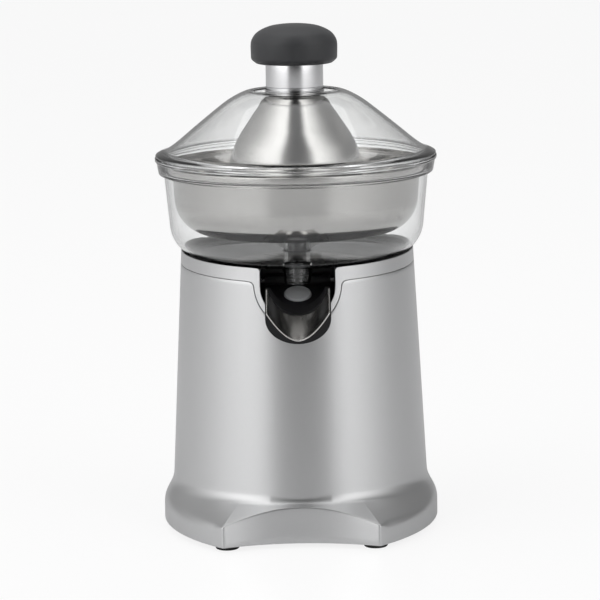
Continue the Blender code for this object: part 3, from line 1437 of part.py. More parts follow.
def spout_room_ring(y, power):
    """What is cut out of the shell for the steel, with a gap under it and open above."""
    rise = slope_shift(y)
    under = [(x * (1 + GAP / LINER_HALF_WIDTH), z - GAP) for x, z in liner_curve(0, power)]
    top = spout_low_z() + 2 * SPOUT_DEPTH
    outline = [(under[0][0], top)] + under + [(under[-1][0], top)]
    return [(x, y, z + rise) for x, z in outline]


def make_spout_pad(mat, pivot):
    """The seal that closes the outlet's mouth when the spout is lifted."""
    top = floor_level() + PAD_PROUD
    low = top - PAD_THICKNESS
    bevel = 0.8 * MM
    profile = [(0, top), (PAD_RADIUS - bevel, top), (PAD_RADIUS, top - bevel), (PAD_RADIUS, low), (0, low)]
    pad = turned("spout_seal", profile, mat)
    pad.data.transform(Matrix.Translation((0, -OUTLET_REACH, 0)))
    return flat_when_closed(pad, pivot)


def make_spout_pin(mat):
    half = RECESS_HALF_WIDTH + 1.5 * MM
    pin = rod("spout_pin", PIVOT_PIN_RADIUS, -half, half, mat, (0, PIVOT_Y, PIVOT_Z), 12)
    pin.data.transform(Matrix.Rotation(math.pi / 2, 4, "Y"))
    return pin


def make_recess(mat):
    """The dark box behind the opening, open at its top and front, which carries the spout's pin."""
    low = MOUTH_Z - MOUTH_RADIUS - 6 * MM
    top = DECK_Z - GAP
    front = recess_front()
    back = recess_back()
    recess = box("spout_recess", (-RECESS_HALF_WIDTH, front, low), (RECESS_HALF_WIDTH, back, top), mat)
    wall = RECESS_WALL
    room = box(
        "recess_room",
        (-RECESS_HALF_WIDTH + wall, front - 10 * MM, low + wall),
        (RECESS_HALF_WIDTH - wall, back - wall, top + 10 * MM),
        None,
    )
    wide = 2 * RECESS_HALF_WIDTH
    bore = on_hinge_axis(rod("recess_pin_bore", PIVOT_PIN_RADIUS + GAP, -wide, wide, None, steps=12))
    cut(recess, room, bore)
    return recess


def make_spout(shell_mat, steel_mat, seal_mat, pin_mat):
    pivot = bpy.data.objects.new("spout_pivot", None)
    pivot.location = (0, PIVOT_Y, PIVOT_Z)
    bpy.context.scene.collection.objects.link(pivot)
    make_spout_liner(steel_mat, pivot)
    make_spout_shell(shell_mat, pivot)
    make_spout_pad(seal_mat, pivot)
    make_spout_pin(pin_mat)


def main():
    clear_scene()
    silver = material("satin_silver", (0.63, 0.63, 0.64), 0.75, 0.38)
    steel = material("brushed_steel", (0.6, 0.59, 0.57), 1.0, 0.25)
    chrome = material("polished_chrome", (0.75, 0.75, 0.76), 1.0, 0.08)
    clear = material("clear_plastic", (0.96, 0.97, 0.98), 0.0, 0.04, 1.0)
    dark = material("dark_plastic", (0.012, 0.012, 0.013), 0.0, 0.45)
    soft = material("knob_grey", (0.05, 0.052, 0.056), 0.0, 0.5)
    rubber = material("black_rubber", (0.02, 0.02, 0.02), 0.0, 0.8)
    seal = material("grey_silicone", (0.5, 0.5, 0.5), 0.0, 0.5)
    white = material("white_nylon", (0.8, 0.8, 0.78), 0.0, 0.4)
    copper = material("copper_wire", (0.6, 0.28, 0.14), 0.9, 0.4)
    iron = material("stacked_iron", (0.25, 0.25, 0.26), 0.8, 0.5)
    brass = material("bearing_brass", (0.66, 0.49, 0.2), 1.0, 0.3)

    make_housing(silver)
    make_collar(silver)
    make_base(dark)
    make_feet(rubber)
    make_base_screws(steel)
    make_gland(rubber)
    make_deck(dark)
    make_recess(dark)
    make_bush(brass)
    make_shaft_seal(rubber)
    make_collector(clear)
    make_strainer(steel)
    make_reamer(dark)
    make_lid(clear)
    make_dome(steel)
    make_cup(white)
    make_ferrule(chrome)
    make_knob(soft)
    make_press_screw(steel)
    make_spout(dark, steel, seal, steel)
    make_shaft(steel)
    make_spring(steel)
    make_output_gear(white)
    make_idler(white)
    make_idler_pin(steel)
    make_motor_pinion(brass)
    make_gearbox_base(white)
    make_gearbox_cover(white)
    make_gearbox_screws(steel)
    make_stator(iron)
    make_coils(copper)
    make_armature(iron)
    make_fan(white)
    make_motor_bridges(steel)
    make_bearings(brass)
    make_switch(dark, white, steel)
    make_wiring(white, dark)


main()
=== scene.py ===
"""A citrus press juicer: fine surfaces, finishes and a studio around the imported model."""

import json
import logging
import math
from dataclasses import dataclass
from enum import Enum
from typing import Optional, Sequence

import bmesh
import bpy
import numpy as np
from mathutils import Matrix, Quaternion, Vector


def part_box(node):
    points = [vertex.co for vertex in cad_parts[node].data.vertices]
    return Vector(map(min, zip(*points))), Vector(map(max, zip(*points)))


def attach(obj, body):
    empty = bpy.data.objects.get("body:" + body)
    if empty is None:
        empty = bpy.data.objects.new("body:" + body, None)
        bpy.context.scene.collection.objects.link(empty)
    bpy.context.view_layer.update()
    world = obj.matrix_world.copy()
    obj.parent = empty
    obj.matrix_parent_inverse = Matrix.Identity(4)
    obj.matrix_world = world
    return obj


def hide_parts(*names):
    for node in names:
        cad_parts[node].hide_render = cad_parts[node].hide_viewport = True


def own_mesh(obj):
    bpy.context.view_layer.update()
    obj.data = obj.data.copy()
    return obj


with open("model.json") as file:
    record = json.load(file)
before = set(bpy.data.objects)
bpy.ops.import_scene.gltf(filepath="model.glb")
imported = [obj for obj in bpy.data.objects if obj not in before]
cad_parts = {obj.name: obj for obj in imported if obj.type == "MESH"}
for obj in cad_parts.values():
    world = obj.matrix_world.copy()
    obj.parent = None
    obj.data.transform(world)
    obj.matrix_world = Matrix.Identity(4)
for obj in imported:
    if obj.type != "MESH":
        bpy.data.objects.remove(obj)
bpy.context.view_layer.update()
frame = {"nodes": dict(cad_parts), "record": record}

LOG = logging.getLogger("citrus_press")
MM = 0.001
SHARP = 35.0  # degrees: an edge that turns more than this stays sharp
STRAIGHT = 0.02  # radians: a corner this near to straight isn't rounded
SIDE_SHARE = 0.49  # the most of a side that one corner's arc takes up
WELD = 2e-7  # metres: points this close are one
CAD_WELD = 2e-6


# ------------------------------------------------------------------ mesh helpers


def box_mm(node: str) -> tuple[np.ndarray, np.ndarray]:
    """A CAD node's lowest and highest corners in millimetres.

    Args:
        node: the node's name.

    Returns:
        The two corners.
    """
    low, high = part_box(node)
    return np.array(low) / MM, np.array(high) / MM


def smoothed(mesh: bpy.types.Mesh, crease: float) -> None:
    """Shades a mesh smooth.

    Args:
        mesh: the mesh.
        crease: edges that turn more than this many degrees stay sharp.
    """
    mesh.polygons.foreach_set("use_smooth", [True] * len(mesh.polygons))
    mesh.set_sharp_from_angle(angle=math.radians(crease))


def placed(name: str, data: bpy.types.ID) -> bpy.types.Object:
    """Links a new object, at the origin.

    Args:
        name: the object's name.
        data: its mesh, light or camera.

    Returns:
        The object.
    """
    made = bpy.data.objects.new(name, data)
    bpy.context.scene.collection.objects.link(made)
    return made


def new_piece(
    name: str, points: np.ndarray, faces: Sequence[Sequence[int]], crease: float = SHARP
) -> bpy.types.Object:
    """Makes a smooth-shaded object from points in millimetres.

    Args:
        name: the object's name.
        points: an (n, 3) array in millimetres.
        faces: vertex numbers of each face.
        crease: edges that turn more than this many degrees stay sharp.

    Returns:
        The linked object, at the origin.
    """
    mesh = bpy.data.meshes.new(name)
    mesh.from_pydata((points * MM).tolist(), [], [list(map(int, face)) for face in faces])
    work = bmesh.new()
    work.from_mesh(mesh)
    bmesh.ops.remove_doubles(work, verts=work.verts, dist=WELD)
    bmesh.ops.recalc_face_normals(work, faces=work.faces)
    work.to_mesh(mesh)
    work.free()
    smoothed(mesh, crease)
    return placed(name, mesh)


def grid_faces(rows: int, columns: int, around: bool, back: bool) -> np.ndarray:
    """Quads over a grid of points.

    Args:
        rows: how many rows.
        columns: how many columns.
        around: whether the last column joins the first.
        back: whether the last row joins the first.

    Returns:
        An (m, 4) array of vertex numbers.
    """
    down, across = rows if back else rows - 1, columns if around else columns - 1
    i, j = np.meshgrid(np.arange(down), np.arange(across), indexing="ij")
    nearer, further = i * columns, ((i + 1) % rows) * columns
    right = (j + 1) % columns
    return np.stack([nearer + j, nearer + right, further + right, further + j], axis=-1).reshape(-1, 4)


def surface(
    name: str, grid: np.ndarray, around: bool = True, back: bool = False, crease: float = SHARP
) -> bpy.types.Object:
    """An object over an (rows, columns, 3) grid of points in millimetres.

    Args:
        name: the object's name.
        grid: the points.
        around: whether the columns close.
        back: whether the rows close.
        crease: the angle that stays sharp, in degrees.

    Returns:
        The object.
    """
    rows, columns = grid.shape[:2]
    return new_piece(name, grid.reshape(-1, 3), grid_faces(rows, columns, around, back), crease)


def revolve(
    name: str, profile: np.ndarray, steps: int, centre: tuple[float, float] = (0.0, 0.0), closed: bool = True
) -> bpy.types.Object:
    """Turns a profile about an upright axis: x = r cos a, y = r sin a, z = z.

    Args:
        name: the object's name.
        profile: (n, 2) radii and heights in millimetres.
        steps: how many columns go round.
        centre: the axis in plan.
        closed: whether the profile is a loop.

    Returns:
        The object.
    """
    angle = np.linspace(0, 2 * math.pi, steps, endpoint=False)
    r = profile[:, 0][:, None]
    x = centre[0] + r * np.cos(angle)
    y = centre[1] + r * np.sin(angle)
    z = np.broadcast_to(profile[:, 1][:, None], x.shape)
    return surface(name, np.stack([x, y, z], axis=-1), True, closed)


def bend(a: np.ndarray, corner: np.ndarray, b: np.ndarray, radius: float, steps: int = 7) -> np.ndarray:
    """Rounds one corner with a circular arc tangent to both sides.

    Args:
        a: the point before.
        corner: the corner.
        b: the point after.
        radius: the arc's radius, limited by the shorter side.
        steps: points on the arc.

    Returns:
        The arc's points, or the corner alone where the radius is nil.
    """
    u, v = a - corner, b - corner
    lu, lv = np.linalg.norm(u), np.linalg.norm(v)
    if radius <= 0 or lu < 1e-9 or lv < 1e-9:
        return corner[None]
    u, v = u / lu, v / lv
    half = math.acos(float(np.clip(u @ v, -1, 1))) / 2
    if half > math.pi / 2 - STRAIGHT:
        return corner[None]
    reach = min(radius / math.tan(half), SIDE_SHARE * lu, SIDE_SHARE * lv)
    radius = reach * math.tan(half)
    middle = corner + (u + v) / np.linalg.norm(u + v) * (radius / math.sin(half))
    start, end = corner + u * reach - middle, corner + v * reach - middle
    turn = math.atan2(start[0] * end[1] - start[1] * end[0], start @ end)
    angle = math.atan2(start[1], start[0]) + np.linspace(0, turn, steps)
    return middle + radius * np.stack([np.cos(angle), np.sin(angle)], axis=-1)


def rounded(corners: Sequence[tuple[float, float, float]], closed: bool = True) -> np.ndarray:
    """A profile through corners, each with its own rounding radius.

    Args:
        corners: (r, z, radius) for each corner.
        closed: whether the last corner joins the first.

    Returns:
        The profile's points.
    """
    flat = np.array([corner[:2] for corner in corners], float)
    count = len(corners)
    parts = []
    for k, (_, _, radius) in enumerate(corners):
        ends = not closed and k in (0, count - 1)
        parts.append(flat[k][None] if ends else bend(flat[k - 1], flat[k], flat[(k + 1) % count], radius))
    return np.concatenate(parts)


def flowing(points: Sequence[tuple[float, float]], each: int = 10) -> np.ndarray:
    """A Catmull-Rom curve through the points, which passes through each one with no corner.

    Args:
        points: the points that it passes through.
        each: samples between two points.

    Returns:
        The curve's points.
    """
    p = np.array(points, float)
    p = np.concatenate([2 * p[:1] - p[1:2], p, 2 * p[-1:] - p[-2:-1]])
    t = np.linspace(0, 1, each, endpoint=False)[None, :, None]
    a, b, c, d = (p[k : len(p) - 3 + k][:, None, :] for k in range(4))
    curve = 0.5 * (2 * b + (c - a) * t + (2 * a - 5 * b + 4 * c - d) * t**2 + (3 * b - a - 3 * c + d) * t**3)
    return np.concatenate([curve.reshape(-1, 2), p[-2:-1]])


def beside(curve: np.ndarray, wall: float) -> np.ndarray:
    """The curve moved sideways by a wall, to the right of the way it runs.

    Args:
        curve: the points.
        wall: how far it moves.

    Returns:
        The moved points.
    """
    run = np.gradient(curve, axis=0)
    run = run / np.linalg.norm(run, axis=1, keepdims=True)
    return curve + wall * np.stack([run[:, 1], -run[:, 0]], axis=-1)


def bowl_corner(
    centre: tuple[float, float], radius: float, lean: float, steps: int
) -> list[tuple[float, float, float]]:
    """A bowl's round corner in section: an arc from its floor to its leaning side.

    Args:
        centre: the arc's centre, as a radius and a height.
        radius: the arc's radius.
        lean: how far the side leans out, in radians.
        steps: points on the arc.

    Returns:
        Corners with no rounding of their own.
    """
    a = np.linspace(-math.pi / 2, -lean, steps)
    return [(centre[0] + radius * math.cos(k), centre[1] + radius * math.sin(k), 0.0) for k in a]


def softened(piece: bpy.types.Object, width: float, angle: float = SHARP) -> bpy.types.Object:
    """Rounds a piece's sharp edges with a Bevel.

    Args:
        piece: the object.
        width: the bevel's width in millimetres.
        angle: the least turn of an edge that is rounded, in degrees.

    Returns:
        The same object.
    """
    bevel = piece.modifiers.new("soft_edges", "BEVEL")
    bevel.width = width * MM
    bevel.segments = 2
    bevel.limit_method = "ANGLE"
    bevel.angle_limit = math.radians(angle)
    return piece


def walled(piece: bpy.types.Object, wall: float) -> bpy.types.Object:
    """Gives an open surface a wall on its inner side with a Solidify.

    Args:
        piece: the object.
        wall: the thickness in millimetres.

    Returns:
        The same object.
    """
    solid = piece.modifiers.new("wall", "SOLIDIFY")
    solid.thickness = wall * MM
    solid.offset = -1.0
    return piece


def refined(node: str, name: str, edge: float, crease: float = 32.0) -> bpy.types.Object:
    """A smooth-shaded copy of a CAD node with softened edges.

    Args:
        node: the CAD node.
        name: the new object's name.
        edge: the edge rounding in millimetres.
        crease: the angle that stays sharp, in degrees.

    Returns:
        The new object.
    """
    source = frame["nodes"][node].data
    points = np.empty(len(source.vertices) * 3, np.float32)
    source.vertices.foreach_get("co", points)
    faces = np.empty(len(source.loops), np.int32)
    source.loops.foreach_get("vertex_index", faces)
    mesh = bpy.data.meshes.new(name)
    mesh.from_pydata(points.reshape(-1, 3).tolist(), [], faces.reshape(-1, 3).tolist())
    work = bmesh.new()
    work.from_mesh(mesh)
    bmesh.ops.remove_doubles(work, verts=work.verts, dist=CAD_WELD)
    bmesh.ops.dissolve_limit(work, angle_limit=math.radians(0.5), verts=work.verts, edges=work.edges)
    work.to_mesh(mesh)
    work.free()
    smoothed(mesh, crease)
    return softened(placed(name, mesh), edge, crease)


def combined(piece: bpy.types.Object, other: bpy.types.Object, operation: str) -> None:
    """Adds or takes away another solid, and removes it afterwards.

    Args:
        piece: the solid that is changed.
        other: the other solid.
        operation: UNION or DIFFERENCE.
    """
    boolean = piece.modifiers.new("joined", "BOOLEAN")
    boolean.operation = operation
    boolean.object = other
    graph = bpy.context.evaluated_depsgraph_get()
    mesh = bpy.data.meshes.new_from_object(piece.evaluated_get(graph))
    piece.modifiers.clear()
    piece.data = mesh
    smoothed(mesh, SHARP)
    bpy.data.objects.remove(other)


# ------------------------------------------------------------------ finishes


def math_node(tree: bpy.types.NodeTree, operation: str, a: object, b: object) -> bpy.types.NodeSocket:
    """Adds a Math node.

    Args:
        tree: the node tree.
        operation: the node's operation.
        a: the first value or socket.
        b: the second value or socket.

    Returns:
        Its result.
    """
    node = tree.nodes.new("ShaderNodeMath")
    node.operation = operation
    for slot, value in enumerate((a, b)):
        if isinstance(value, bpy.types.NodeSocket):
            tree.links.new(value, node.inputs[slot])
        else:
            node.inputs[slot].default_value = value
    return node.outputs[0]


def mix_shaders(tree: bpy.types.NodeTree, sources: Sequence[bpy.types.NodeSocket], output: str) -> None:
    """Mixes two shaders into a tree's output.

    Args:
        tree: the node tree.
        sources: the mix's share, then its first and its second shader.
        output: the output node's name.
    """
    mix = tree.nodes.new("ShaderNodeMixShader")
    for slot, source in enumerate(sources):
        tree.links.new(source, mix.inputs[slot])
    tree.links.new(mix.outputs[0], tree.nodes[output].inputs["Surface"])


class Nodes:
    """A small builder for one material's node tree."""

    def __init__(self, name: str) -> None:
        """Makes the material with a Principled shader, and its Object coordinates.

        Args:
            name: the material's name.
        """
        self.material = bpy.data.materials.new(name)
        self.material.use_nodes = True
        self.tree = self.material.node_tree
        self.shader = self.tree.nodes["Principled BSDF"]
        self.place = self.tree.nodes.new("ShaderNodeTexCoord").outputs["Object"]

    def set(self, **values: float) -> None:
        """Sets the shader's own sockets; underscores in a name stand for spaces."""
        for name, value in values.items():
            self.shader.inputs[name.replace("_", " ")].default_value = value

    def link(self, source: bpy.types.NodeSocket, socket: str) -> None:
        """Links a result to one of the shader's sockets."""
        self.tree.links.new(source, self.shader.inputs[socket])

    def maths(self, operation: str, a: object, b: object = 0.0) -> bpy.types.NodeSocket:
        """A Math node's result, from two values or sockets."""
        return math_node(self.tree, operation, a, b)

    def stretched(self, x: float, y: float, z: float) -> bpy.types.NodeSocket:
        """The Object coordinates, scaled differently each way.

        Args:
            x: the scale along X.
            y: the scale along Y.
            z: the scale along Z.

        Returns:
            The vector.
        """
        node = self.tree.nodes.new("ShaderNodeMapping")
        node.inputs["Scale"].default_value = (x, y, z)
        self.tree.links.new(self.place, node.inputs["Vector"])
        return node.outputs[0]

    def turned(self, fine: float, slow: float) -> bpy.types.NodeSocket:
        """Coordinates for marks that run round the Z axis: fast along the profile, slow around.

        Args:
            fine: the scale along the profile.
            slow: the scale around it.

        Returns:
            The vector.
        """
        parts = self.tree.nodes.new("ShaderNodeSeparateXYZ")
        self.tree.links.new(self.place, parts.inputs[0])
        x, y, z = parts.outputs
        square = self.maths("ADD", self.maths("MULTIPLY", x, x), self.maths("MULTIPLY", y, y))
        profile = self.maths("ADD", self.maths("SQRT", square), self.maths("MULTIPLY", z, 1.7))
        join = self.tree.nodes.new("ShaderNodeCombineXYZ")
        for slot, (value, scale) in enumerate(((x, slow), (y, slow), (profile, fine))):
            self.tree.links.new(self.maths("MULTIPLY", value, scale), join.inputs[slot])
        return join.outputs[0]

    def noise(self, vector: bpy.types.NodeSocket, scale: float, detail: float = 3.0) -> bpy.types.NodeSocket:
        """A Noise texture.

        Args:
            vector: its coordinates.
            scale: its scale.
            detail: its detail.

        Returns:
            The noise value.
        """
        node = self.tree.nodes.new("ShaderNodeTexNoise")
        node.inputs["Scale"].default_value = scale
        node.inputs["Detail"].default_value = detail
        self.tree.links.new(vector, node.inputs["Vector"])
        return node.outputs[0]

    def spread(self, value: bpy.types.NodeSocket, low: float, high: float) -> bpy.types.NodeSocket:
        """Maps a value from 0.3..0.7 to low..high.

        Args:
            value: the value.
            low: what 0.3 becomes.
            high: what 0.7 becomes.

        Returns:
            The mapped value.
        """
        node = self.tree.nodes.new("ShaderNodeMapRange")
        for name, number in (("From Min", 0.3), ("From Max", 0.7), ("To Min", low), ("To Max", high)):
            node.inputs[name].default_value = number
        self.tree.links.new(value, node.inputs["Value"])
        return node.outputs[0]

    def tinted(
        self, value: bpy.types.NodeSocket, dark: Sequence[float], light: Sequence[float]
    ) -> bpy.types.NodeSocket:
        """Mixes two colours by a value from 0.3 to 0.7.

        Args:
            value: the value.
            dark: the first colour.
            light: the second colour.

        Returns:
            The colour.
        """
        node = self.tree.nodes.new("ShaderNodeValToRGB")
        node.color_ramp.elements[0].position = 0.3
        node.color_ramp.elements[0].color = (*dark, 1)
        node.color_ramp.elements[1].position = 0.7
        node.color_ramp.elements[1].color = (*light, 1)
        self.tree.links.new(value, node.inputs[0])
        return node.outputs[0]

    def coloured(self, pattern: bpy.types.NodeSocket, colour: Sequence[float], dark: float, light: float) -> None:
        """Varies the base colour by a pattern, between two shades of one colour."""
        self.link(self.tinted(pattern, scaled(colour, dark), scaled(colour, light)), "Base Color")

    def roughened(self, pattern: bpy.types.NodeSocket, low: float, high: float) -> None:
        """Varies the roughness by a pattern, between two values."""
        self.link(self.spread(pattern, low, high), "Roughness")

    def bumped(self, height: bpy.types.NodeSocket, depth: float, strength: float = 1.0) -> None:
        """Bumps the surface by a height.

        Args:
            height: the height value.
            depth: its distance in metres.
            strength: its strength.
        """
        node = self.tree.nodes.new("ShaderNodeBump")
        node.inputs["Strength"].default_value = strength
        node.inputs["Distance"].default_value = depth
        self.tree.links.new(height, node.inputs["Height"])
        self.tree.links.new(node.outputs[0], self.shader.inputs["Normal"])


def scaled(colour: Sequence[float], factor: float) -> tuple[float, float, float]:
    """A colour made lighter or darker."""
    return tuple(min(1.0, channel * factor) for channel in colour)


class Finish:
    """What every finish shares: a subclass says how its material is dressed."""

    def make(self, name: str) -> bpy.types.Material:
        """Builds the material.

        Args:
            name: the material's name.

        Returns:
            The material.
        """
        nodes = Nodes(name)
        self.dress(nodes)
        return nodes.material

    def dress(self, nodes: Nodes) -> None:
        """Sets the shader; each finish has its own way."""
        raise NotImplementedError


@dataclass(frozen=True)
class SatinSilver(Finish):
    """Metallic silver paint with a fine flake, under a thin satin lacquer."""

    colour: tuple[float, float, float] = (0.62, 0.623, 0.627)
    roughness: float = 0.30
    metallic: float = 0.88
    flake_scale: float = 5200.0

    def dress(self, nodes: Nodes) -> None:
        """Dresses the material's nodes.

        Args:
            nodes: the node tree's builder.
        """
        flake = nodes.noise(nodes.place, self.flake_scale, 2.0)
        cloud = nodes.noise(nodes.place, 9.0, 2.0)
        nodes.coloured(flake, self.colour, 0.95, 1.05)
        nodes.roughened(cloud, self.roughness - 0.015, self.roughness + 0.015)
        nodes.bumped(flake, 4e-6, 0.35)
        nodes.set(Metallic=self.metallic, Coat_Weight=0.12, Coat_Roughness=0.3)


@dataclass(frozen=True)
class TurnedSteel(Finish):
    """Stainless steel with fine marks that run round its axis."""

    colour: tuple[float, float, float] = (0.62, 0.61, 0.595)
    roughness: float = 0.165
    anisotropic: float = 0.6

    def dress(self, nodes: Nodes) -> None:
        """Dresses the material's nodes.

        Args:
            nodes: the node tree's builder.
        """
        marks = nodes.noise(nodes.turned(3200.0, 9.0), 1.0, 2.0)
        broad = nodes.noise(nodes.turned(900.0, 4.0), 1.0, 2.0)
        nodes.coloured(marks, self.colour, 0.975, 1.025)
        nodes.roughened(broad, self.roughness - 0.012, self.roughness + 0.018)
        nodes.bumped(marks, 4e-7, 0.2)
        nodes.set(Metallic=1.0, Anisotropic=self.anisotropic, Anisotropic_Rotation=0.25)
        tangent = nodes.tree.nodes.new("ShaderNodeTangent")
        tangent.direction_type = "RADIAL"
        tangent.axis = "Z"
        nodes.tree.links.new(tangent.outputs[0], nodes.shader.inputs["Tangent"])


@dataclass(frozen=True)
class DrawnSteel(Finish):
    """Stainless steel with fine marks that run from front to rear."""

    colour: tuple[float, float, float] = (0.6, 0.59, 0.575)
    roughness: float = 0.22

    def dress(self, nodes: Nodes) -> None:
        """Dresses the material's nodes.

        Args:
            nodes: the node tree's builder.
        """
        marks = nodes.noise(nodes.stretched(2400.0, 40.0, 300.0), 1.0, 2.0)
        nodes.coloured(marks, self.colour, 0.95, 1.05)
        nodes.roughened(marks, self.roughness - 0.03, self.roughness + 0.04)
        nodes.bumped(marks, 2e-6, 0.3)
        nodes.set(Metallic=1.0)


@dataclass(frozen=True)
class PolishedMetal(Finish):
    """A polished plated metal with the faintest haze."""

    colour: tuple[float, float, float] = (0.78, 0.78, 0.79)
    roughness: float = 0.07

    def dress(self, nodes: Nodes) -> None:
        """Dresses the material's nodes.

        Args:
            nodes: the node tree's builder.
        """
        haze = nodes.noise(nodes.place, 60.0, 4.0)
        nodes.coloured(haze, self.colour, 0.97, 1.02)
        nodes.roughened(haze, self.roughness - 0.02, self.roughness + 0.03)
        nodes.set(Metallic=1.0)


@dataclass(frozen=True)
class ClearPlastic(Finish):
    """Clear moulded plastic with a slight waviness."""

    tint: tuple[float, float, float] = (0.985, 0.99, 0.99)
    roughness: float = 0.012

    def dress(self, nodes: Nodes) -> None:
        """Dresses the material's nodes.

        Args:
            nodes: the node tree's builder.
        """
        wave = nodes.noise(nodes.stretched(1, 1, 1.6), 38.0, 1.0)
        nodes.coloured(wave, self.tint, 0.995, 1.0)
        nodes.roughened(wave, self.roughness * 0.5, self.roughness * 1.6)
        nodes.bumped(wave, 6e-6, 0.25)
        nodes.set(Transmission_Weight=1.0, IOR=1.49)


@dataclass(frozen=True)
class Moulded(Finish):
    """Moulded plastic, rubber or silicone with a fine grain."""

    colour: tuple[float, float, float]
    roughness: float = 0.45
    grain_scale: float = 1500.0
    grain_depth: float = 1.2e-5
    sheen: float = 0.0
    specular: float = 0.5

    def dress(self, nodes: Nodes) -> None:
        """Dresses the material's nodes.

        Args:
            nodes: the node tree's builder.
        """
        grain = nodes.noise(nodes.place, self.grain_scale, 4.0)
        wear = nodes.noise(nodes.place, 24.0, 3.0)
        nodes.coloured(wear, self.colour, 0.9, 1.1)
        nodes.roughened(wear, self.roughness - 0.03, self.roughness + 0.04)
        nodes.bumped(grain, self.grain_depth, 0.6)
        nodes.set(Sheen_Weight=self.sheen, Specular_IOR_Level=self.specular)


@dataclass(frozen=True)
class WorkshopMetal(Finish):
    """Plated, sintered, laminated or wound metal inside the machine."""

    colour: tuple[float, float, float]
    roughness: float = 0.35
    layers: float = 0.0

    def dress(self, nodes: Nodes) -> None:
        """Dresses the material's nodes.

        Args:
            nodes: the node tree's builder.
        """
        vector = nodes.stretched(20, 20, self.layers) if self.layers else nodes.place
        mottle = nodes.noise(vector, 1.0 if self.layers else 700.0, 3.0)
        nodes.coloured(mottle, self.colour, 0.78, 1.15)
        nodes.roughened(mottle, self.roughness - 0.08, self.roughness + 0.1)
        nodes.bumped(mottle, 3e-5, 0.5)
        nodes.set(Metallic=1.0)


class Slot(Enum):
    """The record's material slots."""

    SILVER = "silver_shell"
    STEEL = "bright_steel"
    CHROME = "polished_chrome"
    CLEAR = "clear_plastic"
    KNOB = "knob_soft_grey"
    DARK = "dark_plastic"
    REAMER = "reamer_black"
    RUBBER = "black_rubber"
    SILICONE = "grey_silicone"
    NYLON = "white_nylon"
    PLAIN = "plain_steel"
    BRONZE = "bearing_bronze"
    IRON = "stacked_iron"
    COPPER = "copper_wire"


FINISHES = {
    Slot.SILVER: SatinSilver(),
    Slot.STEEL: TurnedSteel(),
    Slot.CHROME: PolishedMetal(roughness=0.14),
    Slot.CLEAR: ClearPlastic(),
    Slot.KNOB: Moulded((0.036, 0.037, 0.04), 0.5, 1900.0, 8e-6, 0.12),
    Slot.DARK: Moulded((0.012, 0.012, 0.013), 0.36, 1400.0, 6e-6, specular=0.28),
    Slot.REAMER: Moulded((0.02, 0.02, 0.021), 0.36),
    Slot.RUBBER: Moulded((0.012, 0.012, 0.012), 0.7, 900.0, 2e-5),
    Slot.SILICONE: Moulded((0.42, 0.43, 0.44), 0.5, 900.0, 5e-6),
    Slot.NYLON: Moulded((0.72, 0.72, 0.68), 0.42),
    Slot.PLAIN: WorkshopMetal((0.56, 0.56, 0.57), 0.32),
    Slot.BRONZE: WorkshopMetal((0.55, 0.38, 0.18), 0.42),
    Slot.IRON: WorkshopMetal((0.22, 0.22, 0.23), 0.45, 2000.0),
    Slot.COPPER: WorkshopMetal((0.6, 0.27, 0.13), 0.38, 900.0),
}


class Workshop:
    """Makes each finish once, and registers every piece with its body, slot and CAD node."""

    def __init__(self) -> None:
        """Builds the materials and dresses every CAD node."""
        self.materials = {slot: finish.make(slot.value) for slot, finish in FINISHES.items()}
        self.drawn = DrawnSteel().make("drawn_steel")
        self.pressed = TurnedSteel((0.57, 0.56, 0.545), 0.11, 0.75).make("pressed_steel")
        bodies = frame["record"]["behaviour"]["bodies"]
        self.body_of = {node: body for body, nodes in bodies.items() for node in nodes}
        for part in frame["record"]["subparts"]:
            node = frame["nodes"][part["node"]]
            node.data.materials.clear()
            node.data.materials.append(self.materials[Slot(part["material_slot"])])

    def register(
        self, piece: bpy.types.Object, slot: Slot, node: str, material: Optional[bpy.types.Material] = None
    ) -> bpy.types.Object:
        """Dresses a piece, ties it to its body and hides the CAD node it stands for.

        Args:
            piece: the new object.
            slot: its material slot.
            node: the CAD node that it stands for.
            material: its material, where it isn't the slot's usual one.

        Returns:
            The same object.
        """
        piece.data.materials.clear()
        piece.data.materials.append(material or self.materials[slot])
        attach(piece, self.body_of[node])
        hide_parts(node)
        LOG.info("made %s in %s", piece.name, slot.value)
        return piece


# ------------------------------------------------------------------ body shell


